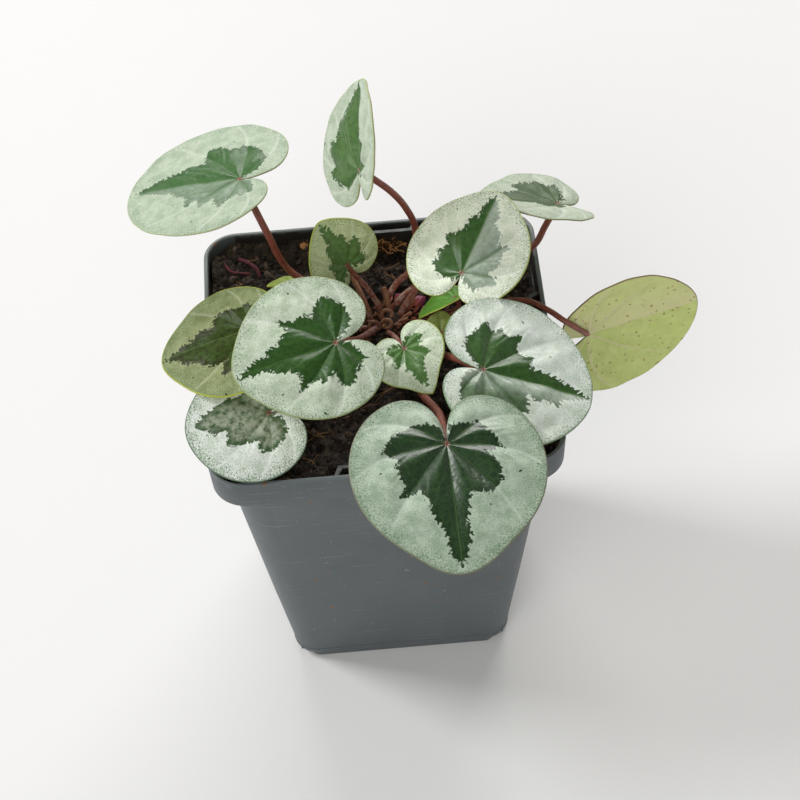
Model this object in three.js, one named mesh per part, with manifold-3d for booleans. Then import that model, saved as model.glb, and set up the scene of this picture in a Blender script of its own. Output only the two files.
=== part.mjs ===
// A potted cyclamen: a young silver-leaved plant in a square nursery pot.
//
// Frame: millimetres, +Z up. The origin is the middle of the flat foot under the pot,
// -Y is the front of the pot and +X its right side.
//
// Every leaf is a blade and a stalk. A blade is drawn in its own leaf space, where (0, 0) is the
// joint with the stalk at the bottom of the notch and (0, 1) is the tip, and is then sized and
// turned to its place. The stalks rise from one flat round tuber that sits just under the soil.

import * as THREE from "three";
import { mergeVertices } from "three/addons/utils/BufferGeometryUtils.js";
import Module from "manifold-3d";

const wasm = await Module();
wasm.setup();

// ---------------------------------------------------------------- driving dimensions

const RIM_WIDTH = 90;          // outside of the rim, a standard 9 cm square pot
const POT_HEIGHT = 96;
const BASE_WIDTH = 60;         // outside of the walls, carried down to the ground
const WALL = 1.2;
const BAND_HEIGHT = 8.6;       // the stiff band round the rim
const BAND_STEP = 3.6;         // how far the rim stands out from the wall under the band
const BAND_DRAFT = 0.4;
const RIM_CORNER = 9;          // corner radii
const WALL_CORNER = 11;
const BASE_CORNER = 6.5;
const FLOOR = 1.4;

const FOOT_RECESS = 2.2;       // the four corners of the base are raised clear of the ground
const RECESS_SIZE = 9.5;
const DRAIN_SLOT = [3.2, 7];   // width and length of the drain slot in each raised corner

const POCKET_WIDTH = 28;       // label pocket in the middle of each side of the rim
const POCKET_DEPTH = 3.2;
const POCKET_STRAP = 1;
const POCKET_HEIGHT = 3.6;

const CLEARANCE = 0.3;         // left between pieces that touch

const SOIL_TOP = 90;
const SOIL_BOTTOM = 4.4;
const SOIL_RELIEF = 1.1;

const TUBER = { centre: [3, 12, 83.5], radius: [14, 13, 7.2] };
const CROWN = { centre: [3, 11.5, 89.2], radius: [6.2, 6.2, 2.9] };

const BLADE_THICKNESS = 0.7;
const STALK_SIDES = 8;

const COLOUR = {
  pot: "#565c5f",
  soil: "#2c211b",
  tuber: "#5c3b2e",
  stalk: "#80463a",
  blade: "#a9bfa4",
  youngBlade: "#8fae5c",
  bud: "#b4607c",
};

// ---------------------------------------------------------------- the leaves

// Outline of a blade in leaf space: a circle set forward of the joint, drawn in to the joint at
// the notch and out to a blunt point at the tip.
const NOTCH_ANGLE = 174.5;     // degrees from the tip to each edge of the notch
const LOBE_FULLNESS = 5;
const TIP_SPREAD = 0.33;       // radians each way over which the tip is drawn out

// joint: where blade and stalk meet. heading, pitch and roll turn the blade: the compass bearing
// of the tip, its rise above level, and the turn about the midrib. length runs from joint to tip,
// width is the radius of the blade's circle and forward is how far it is set forward, both over
// the length. skew makes one side wider, fold is a crease along the midrib, dome bends the margin
// down and wave lifts it in turn. notch gives the two edges of the notch as angles from the tip
// where they are not alike. stalk is the stalk's radius.
// route: the points that the stalk passes on its way from the tuber to the joint.
const LEAVES = [
  { name: "01", joint: [-32.1, 33.7, 126], heading: 165, pitch: -15, roll: -5, length: 33, width: 0.72,
    forward: 0.27, skew: 0.2, stalk: 1,
    route: [[-1.6, 14.4, 90.2], [-12, 21, 93.4], [-22, 27, 98], [-26.8, 27.4, 113]] },
  { name: "02", joint: [-0.7, 24.5, 134], heading: 86, pitch: 41, roll: 65, length: 23.5, width: 0.74,
    forward: 0.2, skew: -0.09, fold: 0.2, stalk: 0.95,
    route: [[3.2, 19.4, 90], [6.4, 23.6, 92.6], [11, 25.4, 96.4], [12.6, 30, 106], [10.4, 28.8, 115.4], [6.6, 26.6, 124]] },
  { name: "03", joint: [-6.5, 21, 104], heading: 160, pitch: 65, roll: 34, length: 15.2, width: 0.71,
    forward: 0.21, skew: -0.03, fold: 0.28, stalk: 0.8,
    route: [[1.4, 16.6, 91], [-1.2, 19.4, 95.4]] },
  { name: "04", joint: [23.1, 7.3, 111], heading: 60, pitch: 23, roll: 4, length: 24.6, width: 0.69,
    forward: 0.21, skew: -0.06, stalk: 0.95,
    route: [[8.4, 13.8, 90.4], [15, 17, 97], [20.6, 13.6, 105]] },
  { name: "05", joint: [51, 34, 107], heading: 183, pitch: 18, roll: -18, length: 22.2, width: 0.68,
    forward: 0.16, skew: -0.18, fold: 0.22, stalk: 0.95,
    route: [[6, 17.6, 91], [12, 21.8, 93], [28, 24.6, 95], [43.6, 27.4, 98.6], [47.4, 30.4, 103]] },
  { name: "06", joint: [56, 5.1, 86.2], heading: 20, pitch: 0, roll: 87, length: 32.1, width: 0.68,
    forward: 0.27, skew: -0.43, notch: [148, 174.5], stalk: 0.95,
    route: [[9.8, 9, 89.6], [20, 9.6, 93.6], [39, 8.2, 98.2], [45.4, 3, 98.8], [48.8, 1.4, 96.6], [52.8, 2.6, 91.6]] },
  { name: "07", joint: [-10.4, -20.4, 118.5], heading: 196, pitch: -3, roll: 19, length: 26.6, width: 0.74,
    forward: 0.17, skew: 0.1, stalk: 1,
    route: [[0.6, 9, 91.4], [-4, 3, 94.6], [-8, -7.5, 105]] },
  { name: "08", joint: [-31.7, -9, 114], heading: 183, pitch: -16, roll: 7, length: 24.8, width: 0.67,
    forward: 0.2, skew: -0.17, stalk: 0.95,
    route: [[-2.6, 10.4, 90], [-14, 5, 94.6], [-25, -2.5, 104]] },
  { name: "09", joint: [-28.7, -28, 103.1], heading: 188, pitch: -1, roll: 20, length: 21.3, width: 0.76,
    forward: 0.2, skew: -0.16, stalk: 0.95,
    route: [[-1.6, 6.2, 89.4], [-8, -4, 92.8], [-18.5, -17, 96]] },
  { name: "10", joint: [6, -6.2, 100], heading: 294, pitch: -9, roll: -21, length: 14.8, width: 0.71,
    forward: 0.13, skew: -0.03, stalk: 0.7,
    route: [[3, 6.8, 91.6], [4.8, 1.4, 95.4]] },
  { name: "11", joint: [25.5, -24.5, 108.5], heading: 352, pitch: -20, roll: -10, length: 29.3, width: 0.745,
    forward: 0.22, skew: -0.16, dome: 0.025, stalk: 1,
    route: [[7, 5.4, 89.8], [14.6, -4, 94.5], [20.4, -14, 101.5]] },
  { name: "12", joint: [14.4, -49.4, 110.5], heading: 272, pitch: -16, roll: 4, length: 33.2, width: 0.73,
    forward: 0.15, skew: 0.02, stalk: 1.05,
    route: [[4.4, 3.6, 89.4], [7.2, -6, 91.4], [10.2, -18.4, 94.8], [13.8, -33.8, 103.6]] },
];

// Young leaves deep in the crown, still folded or barely open.
const YOUNG_LEAVES = [
  { name: "13", joint: [-21.6, 25, 94.6], heading: 178, pitch: -2, roll: -24, length: 6.8, width: 0.52,
    forward: 0.2, fold: 0.3, stalk: 0.55, route: [[-3.8, 13, 90], [-14, 19.4, 92.2]] },
  { name: "14", joint: [21.3, 12.2, 97], heading: 190, pitch: -21, roll: -22, length: 11, width: 0.52,
    forward: 0.2, fold: 0.35, stalk: 0.6, route: [[9.8, 11.8, 89.2], [18, 12, 91.6], [22.4, 12, 94.2]] },
  { name: "15", joint: [16.8, 4.2, 92.9], heading: 84, pitch: 30, roll: 0, length: 6, width: 0.68,
    forward: 0.2, fold: 0.2, stalk: 0.55, route: [[9.4, 6.4, 88.8], [14.4, 4.4, 90.8]] },
];

const DEGREE = Math.PI / 180;

// Angle of the edge of the notch on the side that an angle lies on.
function notchEdge(leaf, angle) {
  return (leaf.notch ?? [NOTCH_ANGLE, NOTCH_ANGLE])[angle < 0 ? 0 : 1] * DEGREE;
}

// Distance from the joint to the margin at an angle from the tip, in leaf lengths.
function marginRadius(leaf, angle) {
  const a = Math.abs(angle);
  const across = leaf.width ** 2 - (leaf.forward * Math.sin(a)) ** 2;
  const circle = leaf.forward * Math.cos(a) + Math.sqrt(Math.max(across, 0));
  const skewed = circle * (1 + 0.5 * (leaf.skew ?? 0) * Math.sin(angle));
  const tip = (1 - leaf.forward - leaf.width) * Math.exp(-((a / TIP_SPREAD) ** 2));
  const notch = Math.sqrt(Math.max(1 - (a / notchEdge(leaf, angle)) ** LOBE_FULLNESS, 0));
  return (skewed + tip) * notch;
}

// Height of the blade over its flat leaf plane, in leaf lengths.
function bladeHeight(leaf, x, y, angle) {
  const reach = x * x + y * y;
  const crease = (leaf.fold ?? 0) * (Math.hypot(x, 0.05) - 0.05);
  const dome = (leaf.dome ?? 0.04) * reach;
  const wave = (leaf.wave ?? 0.012) * reach * Math.sin(3 * angle + 2 * leaf.joint[0]);
  return crease - dome + wave;
}

// The blade's own axes in the world: side, tip and face.
function bladeAxes(leaf) {
  const heading = leaf.heading * DEGREE;
  const pitch = leaf.pitch * DEGREE;
  const tip = new THREE.Vector3(
    Math.cos(pitch) * Math.cos(heading), Math.cos(pitch) * Math.sin(heading), Math.sin(pitch));
  const level = new THREE.Vector3(Math.sin(heading), -Math.cos(heading), 0);
  const side = level.applyAxisAngle(tip, -leaf.roll * DEGREE);
  const face = side.clone().cross(tip);
  return new THREE.Matrix4().makeBasis(side, tip, face);
}

// One closed blade: the same fan of triangles above and below, joined round the margin.
function bladeGeometry(leaf, rays, rings, thickness, grow = 1) {
  const positions = [];
  const faceIndex = [[], []];
  for (const [layer, lift] of [[0, thickness / 2], [1, -thickness / 2]]) {
    const start = positions.length / 3;
    positions.push(0, 0, lift);
    for (let ray = 1; ray < rays; ray++) {
      const s = 2 * ray / rays - 1;
      const angle = notchEdge(leaf, s) * Math.sign(s) * (1 - (1 - Math.abs(s)) ** 1.35);
      const radius = marginRadius(leaf, angle) * grow;
      for (let ring = 1; ring <= rings; ring++) {
        const reach = radius * (ring / rings);
        const x = reach * Math.sin(angle);
        const y = reach * Math.cos(angle);
        const z = bladeHeight(leaf, x, y, angle) * leaf.length + lift;
        positions.push(x * leaf.length, y * leaf.length, z);
      }
    }
    const vertex = (ray, ring) => (ring === 0 ? start : start + 1 + (ray - 1) * rings + ring - 1);
    for (let ray = 1; ray < rays - 1; ray++) {
      for (let ring = 0; ring < rings; ring++) {
        const a = vertex(ray, ring);
        const b = vertex(ray, ring + 1);
        const c = vertex(ray + 1, ring + 1);
        const d = vertex(ray + 1, ring);
        faceIndex[layer].push(a, c, b);
        if (ring > 0) faceIndex[layer].push(a, d, c);
      }
    }
  }
  const index = [...faceIndex[0]];
  for (let i = 0; i < faceIndex[1].length; i += 3) {
    index.push(faceIndex[1][i], faceIndex[1][i + 2], faceIndex[1][i + 1]);
  }
  // the edge of the blade, from the joint round the margin and back
  const count = 1 + (rays - 1) * rings;
  const margin = [0];
  for (let ray = 1; ray < rays; ray++) {
    margin.push(1 + (ray - 1) * rings + rings - 1);
  }
  // the fan leaves the two straight sides of the notch open, so they are walked as well
  const left = [];
  const right = [];
  for (let ring = 1; ring < rings; ring++) {
    left.push(ring);
    right.push(1 + (rays - 2) * rings + ring - 1);
  }
  const loop = [0, ...left, ...margin.slice(1), ...right.reverse()];
  for (let i = 0; i < loop.length; i++) {
    const a = loop[i];
    const b = loop[(i + 1) % loop.length];
    index.push(a, b, b + count, a, b + count, a + count);
  }
  const geometry = new THREE.BufferGeometry();
  geometry.setAttribute("position", new THREE.Float32BufferAttribute(positions, 3));
  geometry.setIndex(index);
  geometry.applyMatrix4(bladeAxes(leaf));
  geometry.translate(...leaf.joint);
  return geometry;
}

// ---------------------------------------------------------------- solids

// A closed geometry as a solid that can be cut and joined.
function solid(geometry) {
  const bare = geometry.index ? geometry.clone() : geometry;
  bare.deleteAttribute("normal");
  bare.deleteAttribute("uv");
  const merged = mergeVertices(bare, 1e-4);
  const result = new wasm.Manifold(new wasm.Mesh({
    numProp: 3,
    vertProperties: new Float32Array(merged.attributes.position.array),
    triVerts: new Uint32Array(merged.index.array),
  }));
  return result.volume() < 0 ? result.mirror([1, 0, 0]) : result;
}

// A solid back as a geometry with one normal to each face.
function geometryOf(body) {
  const mesh = body.getMesh();
  const indexed = new THREE.BufferGeometry();
  indexed.setAttribute("position", new THREE.BufferAttribute(mesh.vertProperties, 3));
  indexed.setIndex(new THREE.BufferAttribute(mesh.triVerts, 1));
  const flat = indexed.toNonIndexed();
  flat.computeVertexNormals();
  return flat;
}

const union = (bodies) => bodies.reduce((all, body) => all.add(body));

// The largest loose body of a solid.
function largest(body) {
  const bodies = body.decompose();
  return bodies.reduce((best, next) => (next.volume() > best.volume() ? next : best));
}

// A round rod along a smooth curve through the points.
function rod(points, radius, steps, sides = STALK_SIDES) {
  const outline = new THREE.Shape();
  for (let i = 0; i < sides; i++) {
    const angle = 2 * Math.PI * i / sides;
    const place = [radius * Math.cos(angle), radius * Math.sin(angle)];
    if (i === 0) outline.moveTo(...place);
    else outline.lineTo(...place);
  }
  outline.closePath();
  const path = new THREE.CatmullRomCurve3(points.map((p) => new THREE.Vector3(...p)), false, "centripetal");
  return solid(new THREE.ExtrudeGeometry(outline, { steps, extrudePath: path, curveSegments: 1 }));
}

// An egg-shaped or flattened ball.
function ball(centre, radius, across = 16, up = 10) {
  const geometry = new THREE.SphereGeometry(1, across, up);
  geometry.scale(...radius);
  geometry.translate(...centre);
  return solid(geometry);
}

function box(size, centre) {
  const geometry = new THREE.BoxGeometry(...size);
  geometry.translate(...centre);
  return solid(geometry);
}

// A ring of points round a square with round corners, at one height.
function squareRing(halfWidth, corner, height, cornerSteps = 4, sideSteps = 4) {
  const points = [];
  const reach = halfWidth - corner;
  for (let quarter = 0; quarter < 4; quarter++) {
    const turn = quarter * Math.PI / 2;
    const cx = reach * Math.SQRT2 * Math.cos(turn + Math.PI / 4);
    const cy = reach * Math.SQRT2 * Math.sin(turn + Math.PI / 4);
    for (let i = 0; i <= cornerSteps; i++) {
      const angle = turn + (i / cornerSteps) * Math.PI / 2;
      points.push([cx + corner * Math.cos(angle), cy + corner * Math.sin(angle), height]);
    }
    // the straight side after this corner is split as well, for the relief of the soil
    const next = turn + Math.PI / 2;
    const from = points[points.length - 1];
    const to = [
      reach * Math.SQRT2 * Math.cos(next + Math.PI / 4) + corner * Math.cos(next),
      reach * Math.SQRT2 * Math.sin(next + Math.PI / 4) + corner * Math.sin(next),
    ];
    for (let i = 1; i < sideSteps; i++) {
      const share = i / sideSteps;
      points.push([from[0] + (to[0] - from[0]) * share, from[1] + (to[1] - from[1]) * share, height]);
    }
  }
  return points;
}

// A closed skin over a stack of rings, each with as many points, and a point at either end.
function loft(first, rings, last) {
  const around = rings[0].length;
  const positions = [...first, ...rings.flat(2), ...last];
  const end = 1 + rings.length * around;
  const index = [];
  for (let i = 0; i < around; i++) {
    const j = (i + 1) % around;
    index.push(0, 1 + j, 1 + i);
    for (let k = 0; k < rings.length - 1; k++) {
      const low = 1 + k * around;
      const high = low + around;
      index.push(low + i, low + j, high + j, low + i, high + j, high + i);
    }
    const top = end - around;
    index.push(top + i, top + j, end);
  }
  const geometry = new THREE.BufferGeometry();
  geometry.setAttribute("position", new THREE.Float32BufferAttribute(positions, 3));
  geometry.setIndex(index);
  return solid(geometry);
}

// ---------------------------------------------------------------- pot

const bandBottom = POT_HEIGHT - BAND_HEIGHT;
const wallSlope = (RIM_WIDTH / 2 - BAND_STEP - BASE_WIDTH / 2) / bandBottom;
const wallHalf = (height) => BASE_WIDTH / 2 + wallSlope * height;

function pot() {
  const rimHalf = RIM_WIDTH / 2;
  const bandHalf = rimHalf - BAND_DRAFT;
  const lip = 0.4;
  const ledge = bandBottom + WALL;
  const bottomHalf = wallHalf(0);
  const outside = [
    squareRing(bottomHalf - lip, BASE_CORNER - lip, 0),
    squareRing(bottomHalf, BASE_CORNER, lip),
    squareRing(wallHalf(bandBottom), WALL_CORNER, bandBottom),
    squareRing(bandHalf - lip, RIM_CORNER - lip, bandBottom),
    squareRing(bandHalf, RIM_CORNER, bandBottom + lip),
    squareRing(rimHalf, RIM_CORNER, POT_HEIGHT - lip),
    squareRing(rimHalf - lip, RIM_CORNER - lip, POT_HEIGHT),
  ];
  const inside = [
    squareRing(rimHalf - WALL, RIM_CORNER - WALL, POT_HEIGHT),
    squareRing(bandHalf - WALL, RIM_CORNER - WALL, ledge),
    squareRing(wallHalf(ledge) - WALL, WALL_CORNER - WALL, ledge),
    squareRing(wallHalf(FLOOR) - WALL, BASE_CORNER - WALL, FLOOR),
  ];
  let body = loft([0, 0, 0], [...outside, ...inside], [0, 0, FLOOR]);

  const filled = loft([0, 0, 0], outside, [0, 0, POT_HEIGHT]);
  const step = wallHalf(0) - RECESS_SIZE / 2;
  const padWidth = RECESS_SIZE + WALL;
  const padTop = FOOT_RECESS + FLOOR;
  for (const [sx, sy] of [[1, 1], [-1, 1], [-1, -1], [1, -1]]) {
    const padAt = [sx * (step - WALL / 2), sy * (step - WALL / 2), padTop / 2];
    body = body.add(box([padWidth, padWidth, padTop], padAt).intersect(filled));
    body = body.subtract(box([RECESS_SIZE, RECESS_SIZE, 2 * FOOT_RECESS], [sx * step, sy * step, 0]));
    const slot = box([...DRAIN_SLOT, 4 * padTop], [0, 0, 0]).rotate([0, 0, sx * sy * -45]);
    body = body.subtract(slot.translate([sx * (step - 1), sy * (step - 1), 0]));
  }

  for (let side = 0; side < 4; side++) {
    body = body.add(labelPocket(rimHalf - WALL).rotate([0, 0, 90 * side]));
  }
  return body;
}

// A strap bent out from the inside of the rim, which a plant label slides behind.
function labelPocket(wallFace) {
  const half = POCKET_WIDTH / 2;
  const root = 0.8;
  const plan = new THREE.Shape();
  plan.moveTo(-half, root);
  plan.lineTo(-half + POCKET_DEPTH / 2, -POCKET_DEPTH);
  plan.lineTo(half - POCKET_DEPTH / 2, -POCKET_DEPTH);
  plan.lineTo(half, root);
  plan.lineTo(half - POCKET_STRAP, root);
  plan.lineTo(half - POCKET_DEPTH / 2 - POCKET_STRAP, -POCKET_DEPTH + POCKET_STRAP);
  plan.lineTo(-half + POCKET_DEPTH / 2 + POCKET_STRAP, -POCKET_DEPTH + POCKET_STRAP);
  plan.lineTo(-half + POCKET_STRAP, root);
  plan.closePath();
  const strap = new THREE.ExtrudeGeometry(plan, { depth: POCKET_HEIGHT, bevelEnabled: false });
  strap.translate(0, wallFace, POT_HEIGHT - POCKET_HEIGHT - 0.4);
  return solid(strap);
}

// ---------------------------------------------------------------- plant

function fullRoute(leaf, sink) {
  const [first, ...rest] = leaf.route;
  const root = [first[0] * 0.8 + CROWN.centre[0] * 0.2, first[1] * 0.8 + CROWN.centre[1] * 0.2, first[2] - sink];
  return [root, first, ...rest, leaf.joint];
}

function stalk(leaf, grow) {
  const points = fullRoute(leaf, 3.5 + grow);
  return rod(points, leaf.stalk + grow, 3 * leaf.route.length);
}

// Bumps and hollows of the soil, a few fixed waves of different length and direction.
function soilHeight(x, y) {
  const waves = [[0.21, 0.05, 1.3], [-0.08, 0.27, 0.4], [0.36, -0.31, 2.2], [0.17, 0.49, 4.1], [0.61, 0.13, 0.9]];
  let lift = 0;
  waves.forEach(([kx, ky, phase], i) => {
    lift += Math.sin(kx * x + ky * y + phase) / (1 + 0.5 * i);
  });
  return SOIL_TOP + SOIL_RELIEF * lift / 2;
}

function soil() {
  const ledge = bandBottom + WALL + CLEARANCE;
  const bandFace = RIM_WIDTH / 2 - BAND_DRAFT - WALL - CLEARANCE;
  const face = (height) => wallHalf(height) - WALL - CLEARANCE;
  const sides = 6;
  const rings = [
    squareRing(face(SOIL_BOTTOM), BASE_CORNER - WALL, SOIL_BOTTOM, 4, sides),
    squareRing(face(ledge), WALL_CORNER - WALL, ledge, 4, sides),
    squareRing(bandFace, RIM_CORNER - WALL, ledge, 4, sides),
  ];
  for (const share of [1, 0.82, 0.64, 0.46, 0.28, 0.12]) {
    const ring = squareRing(bandFace * share, (RIM_CORNER - WALL) * share, 0, 4, sides);
    rings.push(ring.map(([x, y]) => [x, y, Math.max(soilHeight(x, y), ledge + 0.4)]));
  }
  return loft([0, 0, SOIL_BOTTOM], rings, [0, 0, soilHeight(0, 0)]);
}

// Old stalks round the crown: some broken off short, some lying on the soil, two coiled up as
// the plant coils its spent flower stalks.
const OLD_STALKS = [
  { points: [[3.6, 15, 89], [3.6, 17, 91.6], [3, 20.8, 94.4]], radius: 0.9 },
  { points: [[-0.6, 14.6, 89], [-1.8, 17, 92], [-4.2, 22.6, 94.4]], radius: 0.75 },
  { points: [[5.4, 11.4, 89], [7.2, 11.8, 91.6], [9.2, 12.2, 92.4]], radius: 0.6 },
  { points: [[1.4, 10.4, 89.6], [0.4, 10.4, 92], [-2.2, 10.2, 93]], radius: 0.65 },
  { points: [[4.6, 9.6, 89], [6, 8.8, 91.8], [7.6, 8.2, 92]], radius: 0.55 },
];
const COILS = [
  { centre: [3.1, 12, 93.8], radius: 1.25, wire: 0.5, tilt: 50 },
  { centre: [3.1, 9, 93.4], radius: 1.05, wire: 0.5, tilt: 20 },
];

function coil({ centre, radius, wire, tilt }, grow) {
  const points = [];
  const turns = 1.4;
  const steps = 12;
  for (let i = 0; i <= steps; i++) {
    const angle = 2 * Math.PI * turns * i / steps;
    const lift = 2.6 * wire * turns * i / steps;
    const flat = new THREE.Vector3(radius * Math.cos(angle), radius * Math.sin(angle), lift);
    flat.applyAxisAngle(new THREE.Vector3(1, 0, 0), tilt * DEGREE);
    points.push([centre[0] + flat.x, centre[1] + flat.y, centre[2] - 1.4 + flat.z]);
  }
  points.unshift([centre[0], centre[1], CROWN.centre[2]]);
  return rod(points, wire + grow, 16, 5);
}

function tuber(grow) {
  const size = (radius) => radius.map((r) => r + grow);
  const pieces = [ball(TUBER.centre, size(TUBER.radius)), ball(CROWN.centre, size(CROWN.radius), 12, 8)];
  for (const old of OLD_STALKS) {
    pieces.push(rod(old.points, old.radius + grow, 5, 6));
  }
  for (const shape of COILS) {
    pieces.push(coil(shape, grow));
  }
  return union(pieces);
}

// Flower buds: a pointed bud that nods on a short stalk.
const BUDS = [
  { name: "1", foot: [7.6, 15.2, 89], neck: [10, 16.4, 91.6], tip: [13.6, 18.2, 92], size: 1.5 },
  { name: "2", foot: [12.4, 15.6, 88.6], neck: [14.4, 14.8, 91.4], tip: [12.4, 12.6, 92.6], size: 1.2 },
  { name: "3", foot: [4.6, 18.2, 88.8], neck: [5.8, 20, 90.4], tip: [7.2, 20.2, 92.4], size: 0.8 },
];

function bud({ foot, neck, tip, size }, grow) {
  const outline = [[0, 0], [0.62, 0.3], [0.95, 0.95], [0.9, 1.7], [0.5, 2.5], [0, 3]];
  const profile = outline.map(([r, z]) => new THREE.Vector2(r * (size + grow), z * size));
  const shape = new THREE.LatheGeometry(profile, 8);
  const along = new THREE.Vector3(...tip).sub(new THREE.Vector3(...neck)).normalize();
  shape.applyQuaternion(new THREE.Quaternion().setFromUnitVectors(new THREE.Vector3(0, 1, 0), along));
  shape.translate(...neck);
  const middle = [(foot[0] + neck[0]) / 2, (foot[1] + neck[1]) / 2, (foot[2] + neck[2]) / 2];
  const past = neck.map((value, i) => value + 0.4 * size * along.toArray()[i]);
  return union([solid(shape), rod([foot, middle, neck, past], 0.45 + grow, 6, 6)]);
}

// ---------------------------------------------------------------- assembly

const plant = new THREE.Group();

function addNode(name, body, colour, roughness) {
  const material = new THREE.MeshStandardMaterial({ color: colour, roughness, metalness: 0 });
  const mesh = new THREE.Mesh(geometryOf(body), material);
  mesh.name = name;
  plant.add(mesh);
}

const grownLeaves = LEAVES.map((leaf) => ({ ...leaf, rays: 26, rings: 4, colour: COLOUR.blade }));
const youngLeaves = YOUNG_LEAVES.map((leaf) => ({ ...leaf, rays: 16, rings: 3, colour: COLOUR.youngBlade }));
const leaves = [...grownLeaves, ...youngLeaves];

const wideStalks = union(leaves.map((leaf) => stalk(leaf, CLEARANCE)));
const wideBuds = union(BUDS.map((shape) => bud(shape, CLEARANCE)));

addNode("pot", pot(), COLOUR.pot, 0.55);
addNode("soil", largest(soil().subtract(tuber(CLEARANCE)).subtract(wideStalks).subtract(wideBuds)), COLOUR.soil, 1);
addNode("tuber", largest(tuber(0).subtract(wideStalks).subtract(wideBuds)), COLOUR.tuber, 0.9);

for (const leaf of leaves) {
  const blade = solid(bladeGeometry(leaf, leaf.rays, leaf.rings, BLADE_THICKNESS));
  const bladeRoom = solid(bladeGeometry(leaf, leaf.rays, leaf.rings, BLADE_THICKNESS + 2 * CLEARANCE, 1.02));
  addNode(`blade_${leaf.name}`, blade, leaf.colour, 0.5);
  addNode(`stalk_${leaf.name}`, largest(stalk(leaf, 0).subtract(bladeRoom)), COLOUR.stalk, 0.55);
}
for (const shape of BUDS) {
  addNode(`bud_${shape.name}`, bud(shape, 0), COLOUR.bud, 0.5);
}

export default plant;
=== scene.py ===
# %% [markdown]
# # A potted cyclamen
# A young silver-leaved cyclamen in a square nursery pot. Everything is in metres in the frame of
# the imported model: the origin is the middle of the pot's foot, +Z is up and -Y is the front.
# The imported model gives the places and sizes, and this script dresses it.

# %% Start from the frame
import math

import bpy
import numpy as np
from mathutils import Matrix, Vector, noise


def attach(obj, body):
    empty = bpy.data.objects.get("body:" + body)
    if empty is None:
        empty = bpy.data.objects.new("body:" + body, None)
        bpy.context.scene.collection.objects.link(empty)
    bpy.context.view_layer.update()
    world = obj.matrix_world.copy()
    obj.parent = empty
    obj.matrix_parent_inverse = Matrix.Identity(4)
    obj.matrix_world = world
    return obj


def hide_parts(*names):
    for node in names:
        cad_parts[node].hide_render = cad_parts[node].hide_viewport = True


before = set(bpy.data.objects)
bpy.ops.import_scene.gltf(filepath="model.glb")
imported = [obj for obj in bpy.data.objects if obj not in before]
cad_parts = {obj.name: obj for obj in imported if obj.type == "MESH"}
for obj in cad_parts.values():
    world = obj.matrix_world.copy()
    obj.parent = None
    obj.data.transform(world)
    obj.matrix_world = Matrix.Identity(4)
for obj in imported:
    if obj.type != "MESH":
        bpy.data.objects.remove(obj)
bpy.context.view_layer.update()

MM = 0.001
print("nodes in the frame:", len(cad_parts))

# %% [markdown]
# The camera looks down at the plant from the front, from a little over half a metre away. Its
# place was worked out from the square rim, whose four corners fix the view of a box.
# A long lens keeps the leaves from stretching near the edges of the picture.

# %% Camera
PICTURE = 800                       # pixels each way
FOCAL_PIXELS = 2244
AIM = Vector((4.4, -21.0, 96.0)) * MM
DISTANCE = 571 * MM
AZIMUTH, ELEVATION, ROLL = math.radians(-0.9), math.radians(48.5), math.radians(-4.2)

back = Vector((
    math.sin(AZIMUTH) * math.cos(ELEVATION),
    -math.cos(AZIMUTH) * math.cos(ELEVATION),
    math.sin(ELEVATION),
))
level_right = Vector((0, 0, 1)).cross(back).normalized()
level_up = back.cross(level_right)
right = level_right * math.cos(ROLL) + level_up * math.sin(ROLL)
up = level_up * math.cos(ROLL) - level_right * math.sin(ROLL)
turn = Matrix((right, up, back)).transposed().to_4x4()

lens = bpy.data.cameras.new("camera")
lens.sensor_width = 36
lens.lens = 36 * FOCAL_PIXELS / PICTURE
lens.clip_start = 0.02
camera = bpy.data.objects.new("camera", lens)
camera.matrix_world = Matrix.Translation(AIM + back * DISTANCE) @ turn
bpy.context.scene.collection.objects.link(camera)
bpy.context.scene.camera = camera
print("lens", round(lens.lens, 1), "mm, camera at", [round(v, 3) for v in camera.matrix_world.translation])

# %% [markdown]
# Colours are written as the hex values that a colour picker shows and are turned into the linear
# values that light works with. One helper adds a node to a material, sets it and links it. A
# skin is then built up as a painter would, one thin layer of colour over another.

# %% Colour and node helpers
MIX_A, MIX_B, MIX_OUT = 6, 7, 2     # the colour sockets of a Mix node


def linear(hex_colour):
    values = [int(hex_colour[i:i + 2], 16) / 255 for i in (1, 3, 5)]
    return [v / 12.92 if v <= 0.04045 else ((v + 0.055) / 1.055) ** 2.4 for v in values] + [1.0]


def add(tree, kind, values, out=0):
    """One node with its settings and inputs; an input given a socket is linked. Gives an output."""
    node = tree.nodes.new("ShaderNode" + kind)
    for name, value in values.items():
        if name == "stops":
            while len(node.color_ramp.elements) < len(value):
                node.color_ramp.elements.new(0.5)
            for element, (place, colour) in zip(node.color_ramp.elements, value):
                element.position, element.color = place, linear(colour)
        elif isinstance(name, str) and name not in node.inputs:
            setattr(node, name, value)
        elif isinstance(value, bpy.types.NodeSocket):
            tree.links.new(value, node.inputs[name])
        else:
            node.inputs[name].default_value = value
    return node.outputs[out]


def lay(tree, below, colour, value, low, high, start=0.0, end=1.0, share=None):
    """Lay a colour over what is below. How much of it shows goes smoothly from start to end."""
    part = add(tree, "MapRange", {"interpolation_type": "SMOOTHSTEP", "Value": value, "From Min": low,
                                  "From Max": high, "To Min": start, "To Max": end})
    if share is not None:
        part = add(tree, "Math", {"operation": "MULTIPLY", 0: part, 1: share})
    below, colour = (linear(c) if isinstance(c, str) else c for c in (below, colour))
    return add(tree, "Mix", {"data_type": "RGBA", 0: part, MIX_A: below, MIX_B: colour}, MIX_OUT)


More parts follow.
